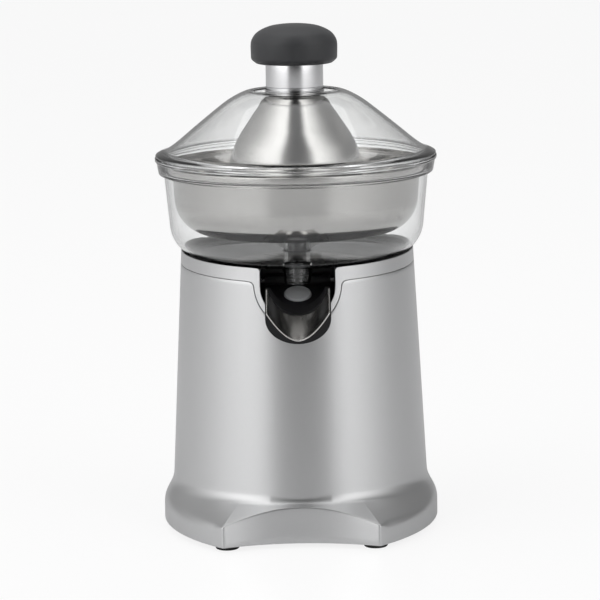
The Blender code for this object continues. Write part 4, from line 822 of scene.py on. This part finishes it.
@dataclass
class BodyShell:
    """The silver shell: plinth, leaning wall, parting line, collar and yoke. Sizes in millimetres."""

    top_z: float = 179.0
    top_radius: float = 79.4
    base_radius: float = 87.2
    base_z: float = 30.0
    crease_z: float = 29.5
    crease_round: float = 5.0
    foot_z: float = 3.0
    shoulder_z: float = 16.8
    shoulder_round: float = 4.3
    front_round: float = 0.9
    round_share: float = 0.48
    half_width: float = 94.0
    corner_x: float = 51.7
    corner_y: float = 103.0
    bite_depth: float = 11.0
    corner_blur: float = math.radians(0.5)
    corner_fade: float = math.radians(5.0)
    wall: float = 2.5
    collar_height: float = 9.0
    collar_lip: float = 0.5
    chamfer_foot: float = 0.78
    dip: float = 3.4
    mouth_z: float = 174.0
    mouth_radius: float = 25.0
    yoke: float = 3.8
    yoke_fillet: float = 3.5
    mouth_fillet: float = 2.0
    gap: float = 0.3
    mouth_share: float = 0.62
    fillet_share: float = 0.26

    def radius(self, z: np.ndarray) -> np.ndarray:
        """The cone's radius at a height."""
        share = (self.top_z - z) / (self.top_z - self.base_z)
        return self.top_radius + (self.base_radius - self.top_radius) * share

    def corner_bearing(self) -> float:
        """The front corners' bearing from straight ahead."""
        return math.atan2(self.corner_x, self.corner_y)

    def reach(self, bearing: np.ndarray) -> np.ndarray:
        """The plinth's outline: its distance from the axis at each bearing.

        The front is an arc hollowed between two corners, the sides are arcs that bow out, and the
        rear is half an ellipse. The corners are rounded by averaging over a small angle.

        Args:
            bearing: angles from straight ahead.

        Returns:
            The distances.
        """
        hollow = (self.corner_x**2 + self.bite_depth**2) / (2 * self.bite_depth)
        x = np.linspace(0, self.corner_x, 400)
        front = np.stack([x, -self.corner_y + self.bite_depth - hollow + np.sqrt(hollow**2 - x**2)], -1)
        run = self.half_width - self.corner_x
        bow = (self.corner_y**2 + run**2) / (2 * run)
        y = np.linspace(-self.corner_y, 0, 500)
        side = np.stack([self.half_width - bow + np.sqrt(bow**2 - y**2), y], -1)
        a = np.linspace(0, math.pi / 2, 500)
        rear = np.stack([self.half_width * np.cos(a), self.corner_y * np.sin(a)], -1)
        line = np.concatenate([front, side[1:], rear[1:]])
        at = np.arctan2(line[:, 0], -line[:, 1])
        far = np.hypot(line[:, 0], line[:, 1])
        spread = np.linspace(-self.corner_blur, self.corner_blur, 9)
        turned = np.abs((bearing[..., None] + spread + math.pi) % (2 * math.pi) - math.pi)
        return np.interp(turned, at, far).mean(-1)

    def bearings(self) -> tuple[np.ndarray, int]:
        """Columns round the shell, crowded at the front corners.

        Returns:
            The bearings, and how many of them lie in the front.
        """
        corner = self.corner_bearing()
        u = np.linspace(-1, 1, 161)
        front = corner * (3 * u - u**3) / 2
        v = np.linspace(-1, 1, 281)[1:-1]
        rest = math.pi + (math.pi - corner) * (3 * v - v**3) / 2
        return np.concatenate([front, rest]), len(u)

    def dipped(self, z: float, bearing: np.ndarray) -> np.ndarray:
        """A height that falls towards the front, over the front half only."""
        return z - self.dip * np.maximum(0.0, np.cos(bearing))

    def edge(
        self, bearing: np.ndarray, count: int, radius: float, top: float, fillet: float
    ) -> tuple[np.ndarray, np.ndarray]:
        """A line round the body that drops round the front opening, as bearings and heights.

        In front, it follows the opening's arc, then a fillet, then the level line out to the
        corner's bearing. Elsewhere it is the level line.

        Args:
            bearing: the columns' bearings.
            count: how many of them lie in front.
            radius: the opening's radius.
            top: the level line's height before it dips.
            fillet: the fillet's radius.

        Returns:
            The bearings and the heights.
        """
        half = count // 2
        high = top - self.dip
        drop = self.mouth_z - (high - fillet)
        # Where the opening's centre is below the fillet's, an upright line joins the two arcs.
        across = math.sqrt((radius + fillet) ** 2 - max(drop, 0.0) ** 2)
        lean = math.atan2(-max(drop, 0.0), across)
        arc_count = int(half * self.mouth_share)
        fillet_count = int(half * self.fillet_share)
        a = np.linspace(-math.pi / 2, lean, arc_count)
        x1, z1 = radius * np.cos(a), self.mouth_z + radius * np.sin(a)
        b = np.linspace(math.pi + lean, math.pi / 2, fillet_count)
        x2, z2 = across + fillet * np.cos(b), high - fillet + fillet * np.sin(b)
        r2 = self.radius(z2)
        bearing_1 = np.arcsin(x1 / self.radius(z1))
        bearing_2 = np.arcsin(x2 / r2)
        level_count = half + 1 - arc_count - fillet_count
        bearing_3 = np.linspace(bearing_2[-1], self.corner_bearing(), level_count + 1)[1:]
        z3 = self.dipped(top, bearing_3)
        ease = np.linspace(1, 0, level_count + 1)[1:] ** 2
        z3 = z3 + (z2[-1] - self.dipped(top, bearing_2[-1:])) * ease
        side_b = np.concatenate([bearing_1, bearing_2, bearing_3])
        side_z = np.concatenate([z1, z2, z3])
        front_b = np.concatenate([-side_b[:0:-1], side_b])
        front_z = np.concatenate([side_z[:0:-1], side_z])
        rest = bearing[count:]
        return np.concatenate([front_b, rest]), np.concatenate([front_z, self.dipped(top, rest)])

    def on_wall(self, bearing: np.ndarray, z: np.ndarray, inset: float = 0.0) -> np.ndarray:
        """Points on the leaning wall: x = r sin b and y = -r cos b."""
        r = self.radius(z) - inset
        return np.stack([r * np.sin(bearing), -r * np.cos(bearing), z], -1)

    def plinth_rows(self, bearing: np.ndarray, reach: np.ndarray) -> tuple[np.ndarray, np.ndarray]:
        """Each column's profile from the plinth's foot to the wall.

        It is an upright side, a rounded shoulder, a slope and a hollow fillet into the wall. The
        hollowed front cuts the slope, so its top edge rises as the outline comes nearer.

        Args:
            bearing: the columns' bearings.
            reach: the outline's distance at each.

        Returns:
            The radii and heights, one row after another.
        """
        corner = self.corner_bearing()
        turned = np.abs((bearing + math.pi) % (2 * math.pi) - math.pi)
        outside = np.clip((turned - corner) / self.corner_fade, 0, 1)
        outside = outside * outside * (3 - 2 * outside)
        cr = self.radius(np.full_like(reach, self.crease_z))
        slope = (self.crease_z - self.shoulder_z) / (math.hypot(self.corner_x, self.corner_y) - cr)
        bz = np.where(turned < corner, self.crease_z - slope * (reach - cr), self.shoulder_z)
        length = np.hypot(reach - cr, self.crease_z - bz)
        shoulder = self.front_round + (self.shoulder_round - self.front_round) * outside
        at_b = np.minimum(shoulder, self.round_share * length)
        at_c = np.minimum(self.crease_round, self.round_share * length)
        ur, uz = (cr - reach) / length, (self.crease_z - bz) / length
        wr, wz = self.radius(np.full_like(reach, self.top_z)) - cr, self.top_z - self.crease_z
        wl = np.hypot(wr, wz)

        def arc(steps: int, start: tuple, middle: tuple, end: tuple) -> tuple[np.ndarray, np.ndarray]:
            """A quadratic curve from start to end, drawn towards the middle point."""
            t = np.linspace(0, 1, steps)[:, None]
            points = zip(start, middle, end)
            return tuple((1 - t) ** 2 * s + 2 * t * (1 - t) * m + t**2 * e for s, m, e in points)

        foot = (reach, np.full_like(reach, self.foot_z))
        b0, b1 = (reach, bz - at_b), (reach + ur * at_b, bz + uz * at_b)
        c0 = (cr - ur * at_c, self.crease_z - uz * at_c)
        c1 = (cr + wr / wl * at_c, self.crease_z + wz / wl * at_c)
        t = np.linspace(0, 1, 5)[:-1, None]
        straight = tuple(a + (b - a) * t for a, b in zip(foot, b0))
        round_b = arc(9, b0, (reach, bz), b1)
        t = np.linspace(0, 1, 7)[1:-1, None]
        sloped = tuple(a + (b - a) * t for a, b in zip(b1, c0))
        round_c = arc(10, c0, (cr, np.full_like(cr, self.crease_z)), c1)
        parts = (straight, round_b, sloped, round_c)
        return np.concatenate([p[0] for p in parts]), np.concatenate([p[1] for p in parts])

    def housing(self) -> bpy.types.Object:
        """The lower shell, from the plinth's foot to the parting line.

        The wall's columns start evenly spread and gather towards the top, where they follow the
        parting line round the yoke.

        Returns:
            The object.
        """
        bearing, count = self.bearings()
        rows_r, rows_z = self.plinth_rows(bearing, self.reach(bearing))
        low = np.stack([rows_r * np.sin(bearing), -rows_r * np.cos(bearing), rows_z], -1)
        radius = self.mouth_radius + self.yoke + self.gap
        edge_b, edge_z = self.edge(bearing, count, radius, self.top_z - self.gap, self.yoke_fillet)
        start_z = rows_z[-1]
        t = np.linspace(0, 1, 56)[1:, None]
        b = bearing + (edge_b - bearing) * t**1.5
        z = start_z + (edge_z - start_z) * t
        wall = self.on_wall(b, z)
        made = surface("housing_shell", np.concatenate([low, wall]), True, False, 45.0)
        return softened(walled(made, self.wall), 0.35, 50.0)

    def collar(self) -> bpy.types.Object:
        """The band over the parting line and the yoke round the opening, one closed loop of rows.

        Rows run from the parting line up to the collar's top edge, over a narrow lip, down a
        chamfer that takes the bowl, and back down the inside.

        Returns:
            The object.
        """
        bearing, count = self.bearings()
        low_b, low_z = self.edge(bearing, count, self.mouth_radius + self.yoke, self.top_z, self.yoke_fillet)
        top = self.top_z + self.collar_height
        high_b, high_z = self.edge(bearing, count, self.mouth_radius, top, self.mouth_fillet)

        def row(t: float, inset: float) -> np.ndarray:
            """Points a share t of the way up the band."""
            return self.on_wall(low_b + (high_b - low_b) * t, low_z + (high_z - low_z) * t, inset)

        rows = [row(t, 0.0) for t in np.linspace(0, 1, 13)]
        rows += [row(1.0, self.collar_lip), row(self.chamfer_foot, self.wall)]
        rows += [row(t, self.wall) for t in (0.5, 0.25, 0.0)]
        made = surface("collar_band", np.stack(rows), True, True, 40.0)
        return softened(made, 0.28, 45.0)

    def build(self, shop: Workshop) -> None:
        """Builds and registers the shell's pieces."""
        shop.register(self.housing(), Slot.SILVER, "main_housing")
        shop.register(self.collar(), Slot.SILVER, "top_collar")


@dataclass
class Underside:
    """The feet, the base plate and what is fixed in the shell's lower part. Sizes in millimetres."""

    foot_round: float = 1.4

    def foot(self, number: int) -> bpy.types.Object:
        """A round rubber foot with a softened rim.

        Args:
            number: which foot.

        Returns:
            The object.
        """
        low, high = box_mm(f"foot_{number}")
        radius = (high[0] - low[0]) / 2
        centre = ((low[0] + high[0]) / 2, (low[1] + high[1]) / 2)
        profile = rounded([
            (0, low[2], 0), (radius, low[2], self.foot_round), (radius, high[2], 0.3), (0, high[2], 0),
        ], False)
        return revolve(f"rubber_foot_{number}", profile, 64, centre, False)

    def build(self, shop: Workshop) -> None:
        """Builds and registers the pieces.

        Args:
            shop: the workshop that registers them.
        """
        for number in range(1, 5):
            shop.register(self.foot(number), Slot.RUBBER, f"foot_{number}")
        shop.register(refined("base_plate", "bottom_plate", 0.4), Slot.DARK, "base_plate")
        shop.register(refined("cord_gland", "cord_inlet", 0.4), Slot.RUBBER, "cord_gland")


# ------------------------------------------------------------------ bowls and lid


@dataclass
class JuiceBowl:
    """The clear collector with its rim band, chimney and outlet. Sizes in millimetres."""

    wall: float = 2.0
    corner: float = 24.0
    corner_centre: float = 62.26
    rim_height: float = 11.3
    rim_reach: float = 6.0
    band_inset: float = 2.5
    bore: float = 7.2
    chimney: float = 25.0
    outlet_y: float = -57.0
    outlet_top: float = 10.3
    outlet_mouth: float = 8.5
    outlet_wall: float = 1.5
    outlet_drop: float = 10.0

    def build(self, shop: Workshop) -> None:
        """Builds the bowl, joins its outlet and drills it.

        Args:
            shop: the workshop that registers it.
        """
        low, high = box_mm("juice_collector")
        base, top, rim = low[2] + self.outlet_drop, high[2], high[0]
        step_z = top - self.rim_height
        step, band, w = rim - self.rim_reach, rim - self.band_inset, self.wall
        lean = math.atan2(step - self.corner_centre - self.corner, step_z - base - self.corner)
        centre = (self.corner_centre, base + self.corner)
        profile = bowl_corner(centre, self.corner, lean, 22) + [
            (step, step_z, 1.2), (band, step_z, 1.4), (rim - 1.0, top - 2.6, 0.5), (rim, top - 2.4, 0.5),
            (rim, top, 0.7), (rim - w, top, 0.6), (band - w, step_z + w, 1.0), (step - w, step_z + w, 1.0),
        ] + bowl_corner(centre, self.corner - w, lean, 22)[::-1] + [
            (self.bore + w, base + w, 1.2), (self.bore + w, base + self.chimney, 0.7),
            (self.bore, base + self.chimney, 0.7), (self.bore, base, 0.4),
        ]
        bowl = revolve("juice_bowl", rounded(profile), 200)
        mouth = base - self.outlet_drop
        outside = rounded([(0, base + 1, 0), (self.outlet_top, base + 1, 0), (self.outlet_top, base, 0),
                           (self.outlet_mouth, mouth, 0.5), (0, mouth, 0)], False)
        tube = revolve("outlet_tube", outside, 72, (0, self.outlet_y), False)
        combined(bowl, tube, "UNION")
        inside = np.array([(0, base + 4), (self.outlet_top - self.outlet_wall, base + 4),
                           (self.outlet_mouth - self.outlet_wall, mouth - 1), (0, mouth - 1)], float)
        drill = revolve("outlet_drill", inside, 72, (0, self.outlet_y), False)
        combined(bowl, drill, "DIFFERENCE")
        shop.register(bowl, Slot.CLEAR, "juice_collector")


@dataclass
class Strainer:
    """The pressed steel strainer bowl, with a rolled rim and slots in its floor. Sizes in millimetres."""

    wall: float = 1.2
    corner: float = 24.0
    corner_centre: float = 58.66
    ledge_z: float = 241.7
    side_radius: float = 83.9
    hub: float = 10.4
    hub_top_z: float = 208.5
    slots: int = 24
    slot_starts: tuple[float, float] = (24.0, 40.0)
    slot_length: float = 15.0
    slot_half_width: float = 0.55

    def build(self, shop: Workshop) -> None:
        """Builds the strainer and cuts its slots.

        Args:
            shop: the workshop that registers it.
        """
        low, high = box_mm("strainer_bowl")
        base, top, lip = low[2], high[2], high[0]
        ledge, side, w = self.ledge_z, self.side_radius, self.wall
        lean = math.atan2(side - self.corner_centre - self.corner, ledge - base - self.corner)
        centre = (self.corner_centre, base + self.corner)
        profile = bowl_corner(centre, self.corner, lean, 24) + [
            (side, ledge, 0.8), (lip, ledge, 1.0), (lip, top, 0.55), (lip - w, top, 0.55),
            (lip - w, ledge + w, 0.6), (side - w, ledge + w, 1.4),
        ] + bowl_corner(centre, self.corner - w, lean, 24)[::-1] + [
            (self.hub + w, base + w, 2.0), (self.hub + w, self.hub_top_z, 0.5),
            (self.hub, self.hub_top_z, 0.5), (self.hub, base, 2.0),
        ]
        bowl = revolve("strainer_dish", rounded(profile), 200)
        combined(bowl, self.cutter(base), "DIFFERENCE")
        shop.register(bowl, Slot.STEEL, "strainer_bowl", shop.pressed)

    def cutter(self, base: float) -> bpy.types.Object:
        """The slots as one object: flat bars in two rings on the floor.

        Args:
            base: the floor's height.

        Returns:
            The cutter.
        """
        corner = np.array([(x, y, z) for x in (0, 1) for y in (-1, 1) for z in (-1.0, 1.0)], float)
        quads = np.array([(0, 1, 3, 2), (4, 6, 7, 5), (0, 4, 5, 1), (2, 3, 7, 6), (0, 2, 6, 4), (1, 5, 7, 3)])
        angle = (np.arange(2 * self.slots) + 0.5) * math.pi / self.slots
        near = np.tile(self.slot_starts, self.slots)
        x = near[:, None] + self.slot_length * corner[None, :, 0]
        y = self.slot_half_width * corner[None, :, 1] + 0 * x
        z = base + 3 * corner[None, :, 2] + 0 * x
        c, s = np.cos(angle)[:, None], np.sin(angle)[:, None]
        points = np.stack([x * c - y * s, x * s + y * c, z], -1).reshape(-1, 3)
        faces = (quads[None] + 8 * np.arange(2 * self.slots)[:, None, None]).reshape(-1, 4)
        return new_piece("slot_bars", points, faces)


@dataclass
class Lid:
    """The clear lid: a round shoulder at its hole, a long slope, and a flange. Sizes in millimetres."""

    wall: float = 2.0
    skirt: float = 3.5
    hole: float = 28.8
    seat_inset: float = 5.5

    def build(self, shop: Workshop) -> None:
        """Builds the lid.

        Args:
            shop: the workshop that registers it.
        """
        low, high = box_mm("lid_cover")
        seat_z, top, rim = low[2] + self.skirt, high[2], high[0]
        hole, height = self.hole, high[2] - low[2] - self.skirt
        span = rim - hole
        outer = flowing([
            (hole + 1.2, top - 0.25), (hole + 0.07 * span, top - 0.02 * height),
            (hole + 0.15 * span, top - 0.07 * height), (hole + 0.26 * span, top - 0.165 * height),
            (hole + 0.38 * span, top - 0.30 * height), (hole + 0.60 * span, top - 0.565 * height),
            (hole + 0.79 * span, seat_z + 0.2 * height), (hole + 0.90 * span, seat_z + 0.09 * height),
            (rim - 1.6, seat_z + 2.2),
        ])
        inner = beside(outer, self.wall)
        seat = rim - self.seat_inset
        inner = inner[(inner[:, 0] < seat - self.wall - 0.4) & (inner[:, 0] > hole + 0.4)]
        flange = rounded([
            (rim - 1.6, seat_z + 2.2, 0), (rim, seat_z + 1.3, 0.7), (rim, seat_z, 0.5), (seat, seat_z, 0.4),
            (seat, seat_z - self.skirt, 0.6), (seat - self.wall, seat_z - self.skirt, 0.6),
            (seat - self.wall, seat_z + 1.0, 0.4),
        ], False)
        edge = rounded([
            (hole + 0.4, top - self.wall - 0.2, 0), (hole, top - self.wall, 0.3), (hole, top, 0.9),
            (hole + 1.2, top - 0.25, 0),
        ], False)
        profile = np.concatenate([outer[:-1], flange, inner[::-1], edge[:-1]])
        shop.register(revolve("lid_shell", profile, 200), Slot.CLEAR, "lid_cover")


# ------------------------------------------------------------------ press


@dataclass
class Press:
    """The steel dome, its ferrule and the knob. Sizes in millimetres."""

    dome_radius: float = 45.3
    dome_height: float = 74.7
    wall: float = 1.0
    neck: float = 17.4
    screw_hole: float = 2.5
    sleeve_gap: float = 0.3
    knob_height: float = 26.8
    knob_groove: float = 19.7
    knob_stem: float = 17.2

    def dome(self) -> bpy.types.Object:
        """The bell: a spun shell with a rolled rim, and a neck inside the ferrule.

        Returns:
            The object.
        """
        low, high = box_mm("press_dome")
        base, top = low[2], high[2]
        shares = [
            (1.0, 0.012), (1.0, 0.10), (0.997, 0.22), (0.985, 0.34), (0.955, 0.45), (0.90, 0.555),
            (0.82, 0.645), (0.735, 0.722), (0.65, 0.80), (0.565, 0.88), (0.487, 0.955), (0.425, 1.0),
        ]
        outer = flowing([(self.dome_radius * r, base + self.dome_height * z) for r, z in shares])
        inner = beside(outer, -self.wall)
        neck_foot = base + self.dome_height
        inside, drilled = self.neck - self.wall, self.screw_hole
        neck = rounded([
            (*outer[-1], 0), (self.neck, neck_foot + 0.4, 0.3), (self.neck, top, 0.6), (drilled, top, 0.2),
            (drilled, top - self.wall, 0.2), (inside, top - self.wall, 0.6), (inside, neck_foot - 0.6, 0.0),
        ], False)
        bead = rounded([
            (self.dome_radius - self.wall, base + 0.9, 0), (self.dome_radius - self.wall, base, 0.4),
            (self.dome_radius, base, 0.45), (self.dome_radius, base + 0.9, 0),
        ], False)
        profile = np.concatenate([outer[:-1], neck, inner[:-1][::-1], bead[:-1]])
        return revolve("dome_bell", profile, 200)

    def ferrule(self) -> bpy.types.Object:
        """The polished sleeve, with a bead at its foot and a shallow groove over it.

        Returns:
            The object.
        """
        low, high = box_mm("knob_ferrule")
        base, top, wide = low[2], high[2], high[0]
        r, hole = wide - 0.6, self.neck + self.sleeve_gap
        groove = r - 0.35
        profile = rounded([
            (hole, top, 0.2), (r, top, 0.5), (r, base + 4.6, 0.2), (groove, base + 4.3, 0.2),
            (groove, base + 3.7, 0.2), (r, base + 3.4, 0.2), (r, base + 2.3, 0.3), (wide, base + 1.9, 0.5),
            (wide, base, 0.6), (hole, base, 0.2),
        ])
        return revolve("ferrule_sleeve", profile, 160)

    def knob(self) -> bpy.types.Object:
        """The mushroom knob: a flattened crown, an upright side and a rounded underside.

        Returns:
            The object.
        """
        low, high = box_mm("press_knob")
        top, wide, height = high[2], high[0], self.knob_height
        base = top - height
        shares = [
            (0, 0), (0.2, 0.006), (0.4, 0.028), (0.56, 0.063), (0.72, 0.13), (0.85, 0.215), (0.93, 0.31),
            (0.985, 0.43), (1, 0.56),
        ]
        crown = flowing([(r * wide, top - z * height) for r, z in shares])
        groove, stem, seat = self.knob_groove, self.knob_stem, base + 3.0
        under = rounded([
            (*crown[-1], 0), (wide - 0.2, base + 3.2, 3.0), (wide - 3.6, base + 0.3, 2.4),
            (groove + 0.8, base, 0.6), (groove + 0.1, base + 1.4, 0.4), (groove, seat, 0.2),
            (stem, seat, 0.2), (stem, low[2], 0.3), (0, low[2], 0),
        ], False)
        return revolve("knob_cap", np.concatenate([crown[:-1], under]), 160, closed=False)

    def build(self, shop: Workshop) -> None:
        """Builds and registers the press.

        Args:
            shop: the workshop that registers it.
        """
        shop.register(self.dome(), Slot.STEEL, "press_dome")
        shop.register(self.ferrule(), Slot.CHROME, "knob_ferrule")
        shop.register(self.knob(), Slot.KNOB, "press_knob")


# ------------------------------------------------------------------ spout


@dataclass
class DripSpout:
    """The tilting spout: a steel trough in a dark shell, with a grey seal. Sizes in millimetres."""

    lift: float = 1.6
    depth: float = 20.0
    half_width: float = 21.0
    slope: float = math.radians(30.0)
    lip_power: float = 1.8
    rear_power: float = 3.0
    wall: float = 0.8

    def trough(self) -> bpy.types.Object:
        """The steel: z = low + depth |t|^p, rising along the slope, with p growing to the rear.

        Returns:
            The object.
        """
        low, high = box_mm("spout_trough")
        base = box_mm("spout_shell")[0][2] + self.lift
        share = np.linspace(0, 1, 30)[:, None]
        t = np.linspace(-1, 1, 61)[None, :]
        y = low[1] + (high[1] - low[1]) * share + 0 * t
        power = self.lip_power + (self.rear_power - self.lip_power) * share
        x = self.half_width * t + 0 * share
        z = base + (self.depth - self.lift) * np.abs(t) ** power + (y - low[1]) * math.tan(self.slope)
        made = surface("pouring_trough", np.stack([x, y, z], -1), False, False)
        mesh = made.data
        if sum(face.normal.z for face in mesh.polygons) > 0:
            mesh.flip_normals()
        return softened(walled(made, self.wall), 0.2, 60.0)

    def build(self, shop: Workshop) -> None:
        """Builds and registers the spout.

        Args:
            shop: the workshop that registers it.
        """
        shop.register(self.trough(), Slot.STEEL, "spout_trough", shop.drawn)
        shop.register(refined("spout_shell", "spout_body", 0.3, 28.0), Slot.DARK, "spout_shell")
        shop.register(refined("spout_seal", "outlet_seal", 0.25, 28.0), Slot.SILICONE, "spout_seal")
        shop.register(refined("spout_recess", "recess_box", 0.3), Slot.DARK, "spout_recess")


@dataclass
class ReturnSpring:
    """The coil spring under the shaft's flange, which shortens with the shaft. Sizes in millimetres."""

    turns: float = 4.5
    wire: float = 0.6
    travel: float = 2.5
    rings: int = 217
    ring_points: int = 14

    def coil(self) -> bpy.types.Object:
        """A round wire along a helix: its centre turns and rises evenly, and each end closes to a point.

        Returns:
            The object.
        """
        low, high = box_mm("return_spring")
        mean = high[0] - self.wire
        foot, rise = low[2] + self.wire, high[2] - low[2] - 2 * self.wire
        share = np.linspace(0, 1, self.rings)
        radius = self.wire * np.concatenate([[0.0], np.ones(self.rings - 2), [0.0]])[:, None]
        turn = 2 * math.pi * self.turns * share
        out = np.stack([np.cos(turn), np.sin(turn), 0 * turn], -1)
        pitch = rise / (2 * math.pi * self.turns * mean)
        run = np.stack([-np.sin(turn), np.cos(turn), 0 * turn + pitch], -1)
        run = run / np.linalg.norm(run, axis=1, keepdims=True)
        up = np.cross(out, run)
        centre = mean * out + np.stack([0 * turn, 0 * turn, foot + rise * share], -1)
        a = np.linspace(0, 2 * math.pi, self.ring_points, endpoint=False)
        ring = out[:, None] * np.cos(a)[None, :, None] + up[:, None] * np.sin(a)[None, :, None]
        return surface("coil_spring", centre[:, None] + radius[:, :, None] * ring, True, False, 60.0)

    def build(self, shop: Workshop) -> None:
        """Builds and registers the spring, on a mesh of its own.

        Args:
            shop: the workshop that registers it.
        """
        spring = shop.register(self.coil(), Slot.PLAIN, "return_spring")
        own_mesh(spring)


# ------------------------------------------------------------------ studio


@dataclass
class Studio:
    """The floor, the lights and the camera. Sizes in metres."""

    eye: tuple[float, float, float] = (0.0014, -2.0, 0.4866)
    aim: tuple[float, float, float] = (0.0014, 0.0, 0.1507)
    lens: float = 178.0
    sensor: float = 36.0
    roll: float = math.radians(-0.9)
    lamp_place: tuple[float, float, float] = (0.0, 0.5, 2.2)
    lamp_aim: tuple[float, float, float] = (0.0, 0.0, 0.17)
    lamp_size: tuple[float, float] = (2.2, 1.4)
    lamp_power: float = 9.0
    span: float = 14.0
    glow: float = 1.06
    glow_share: float = 0.8
    brightest: float = 2.0
    bands: tuple[tuple[float, float], ...] = (
        (-180, 0.28), (-150, 0.28), (-115, 0.48), (-88, 0.95), (-68, 1.50), (-42, 1.80), (-30, 1.5),
        (-21, 0.08), (0, 0.02), (20, 0.02), (29, 0.5), (37, 1.70), (52, 1.60), (74, 0.85), (98, 0.22),
        (125, 0.17), (150, 0.25), (180, 0.28),
    )

    def seen(self, tree: bpy.types.NodeTree) -> bpy.types.NodeSocket:
        """One where a background is looked at, directly or through clear plastic, and nil where it lights.

        Args:
            tree: the node tree that needs it.

        Returns:
            The value.
        """
        path = tree.nodes.new("ShaderNodeLightPath").outputs
        bounces = math_node(tree, "ADD", path["Glossy Depth"], path["Diffuse Depth"])
        straight = math_node(tree, "LESS_THAN", bounces, 0.5)
        through = math_node(tree, "MULTIPLY", path["Is Transmission Ray"], straight)
        return math_node(tree, "MAXIMUM", path["Is Camera Ray"], through)

    def floor(self) -> None:
        """A flat pale floor, lit evenly enough to fade into the white surround."""
        side = np.linspace(-self.span, self.span, 3)
        x, y = np.meshgrid(side, side)
        floor = surface("studio_floor", np.stack([x, y, 0 * x], -1) / MM, False, False, 60.0)
        nodes = Nodes("pale_floor")
        cloud = nodes.noise(nodes.place, 1.5, 1.0)
        nodes.link(nodes.tinted(cloud, (0.93, 0.93, 0.935), (0.95, 0.95, 0.955)), "Base Color")
        nodes.set(Roughness=0.22, Specular_IOR_Level=0.4)
        glow = nodes.tree.nodes.new("ShaderNodeEmission")
        glow.inputs["Strength"].default_value = self.glow
        share = nodes.maths("MULTIPLY", self.seen(nodes.tree), self.glow_share)
        mix_shaders(nodes.tree, (share, nodes.shader.outputs[0], glow.outputs[0]), "Material Output")
        floor.data.materials.append(nodes.material)

    def lamp(self) -> None:
        """A soft rectangular light over the object, which faces its middle."""
        light = bpy.data.lights.new("top_soft", "AREA")
        light.shape = "RECTANGLE"
        light.size, light.size_y = self.lamp_size
        light.energy = self.lamp_power
        lamp = placed("top_soft", light)
        lamp.location = self.lamp_place
        lamp.rotation_euler = self.facing(self.lamp_place, self.lamp_aim).to_euler()

    def facing(self, place: Sequence[float], aim: Sequence[float]) -> Quaternion:
        """The turn that faces one point from another."""
        return (Vector(aim) - Vector(place)).to_track_quat("-Z", "Y")

    def surround(self) -> None:
        """A surround of tall pale and dark bands that the metal reflects.

        Its brightness depends only on the bearing from straight ahead. Where it is looked at,
        directly or through clear plastic, it is plain white instead.
        """
        world = bpy.data.worlds.new("studio")
        bpy.context.scene.world = world
        world.use_nodes = True
        tree = world.node_tree
        banded = tree.nodes["Background"]
        parts = tree.nodes.new("ShaderNodeSeparateXYZ")
        tree.links.new(tree.nodes.new("ShaderNodeTexCoord").outputs["Generated"], parts.inputs[0])
        ahead = math_node(tree, "MULTIPLY", parts.outputs[1], -1.0)
        bearing = math_node(tree, "ARCTAN2", parts.outputs[0], ahead)
        share = tree.nodes.new("ShaderNodeMapRange")
        share.inputs["From Min"].default_value = -math.pi
        share.inputs["From Max"].default_value = math.pi
        tree.links.new(bearing, share.inputs["Value"])
        ramp = tree.nodes.new("ShaderNodeValToRGB")
        ramp.color_ramp.interpolation = "B_SPLINE"
        stops = ramp.color_ramp.elements
        while len(stops) < len(self.bands):
            stops.new(0.5)
        for stop, (angle, value) in zip(stops, self.bands):
            stop.position = angle / 360 + 0.5
            stop.color = (*[value / self.brightest] * 3, 1)
        tree.links.new(share.outputs[0], ramp.inputs[0])
        tree.links.new(ramp.outputs[0], banded.inputs["Color"])
        banded.inputs["Strength"].default_value = self.brightest
        plain = tree.nodes.new("ShaderNodeBackground")
        plain.inputs["Color"].default_value = (1, 1, 1, 1)
        mix_shaders(tree, (self.seen(tree), banded.outputs[0], plain.outputs[0]), "World Output")

    def camera(self) -> None:
        """The camera, level with a slight roll."""
        data = bpy.data.cameras.new("camera")
        data.lens = self.lens
        data.sensor_width = self.sensor
        camera = placed("camera", data)
        camera.location = self.eye
        facing = self.facing(self.eye, self.aim).to_matrix().to_4x4()
        camera.rotation_euler = (facing @ Matrix.Rotation(self.roll, 4, "Z")).to_euler()
        bpy.context.scene.camera = camera

    def build(self) -> None:
        """Builds the studio."""
        self.floor()
        self.lamp()
        self.surround()
        self.camera()
        bpy.context.scene.view_settings.view_transform = "Standard"


def main() -> None:
    """Builds the object in order, then the studio."""
    logging.basicConfig(level=logging.INFO)
    shop = Workshop()
    for assembly in (BodyShell, Underside, JuiceBowl, Strainer, Lid, Press, DripSpout, ReturnSpring):
        assembly().build(shop)
    Studio().build()


if __name__ == "__main__":
    main()
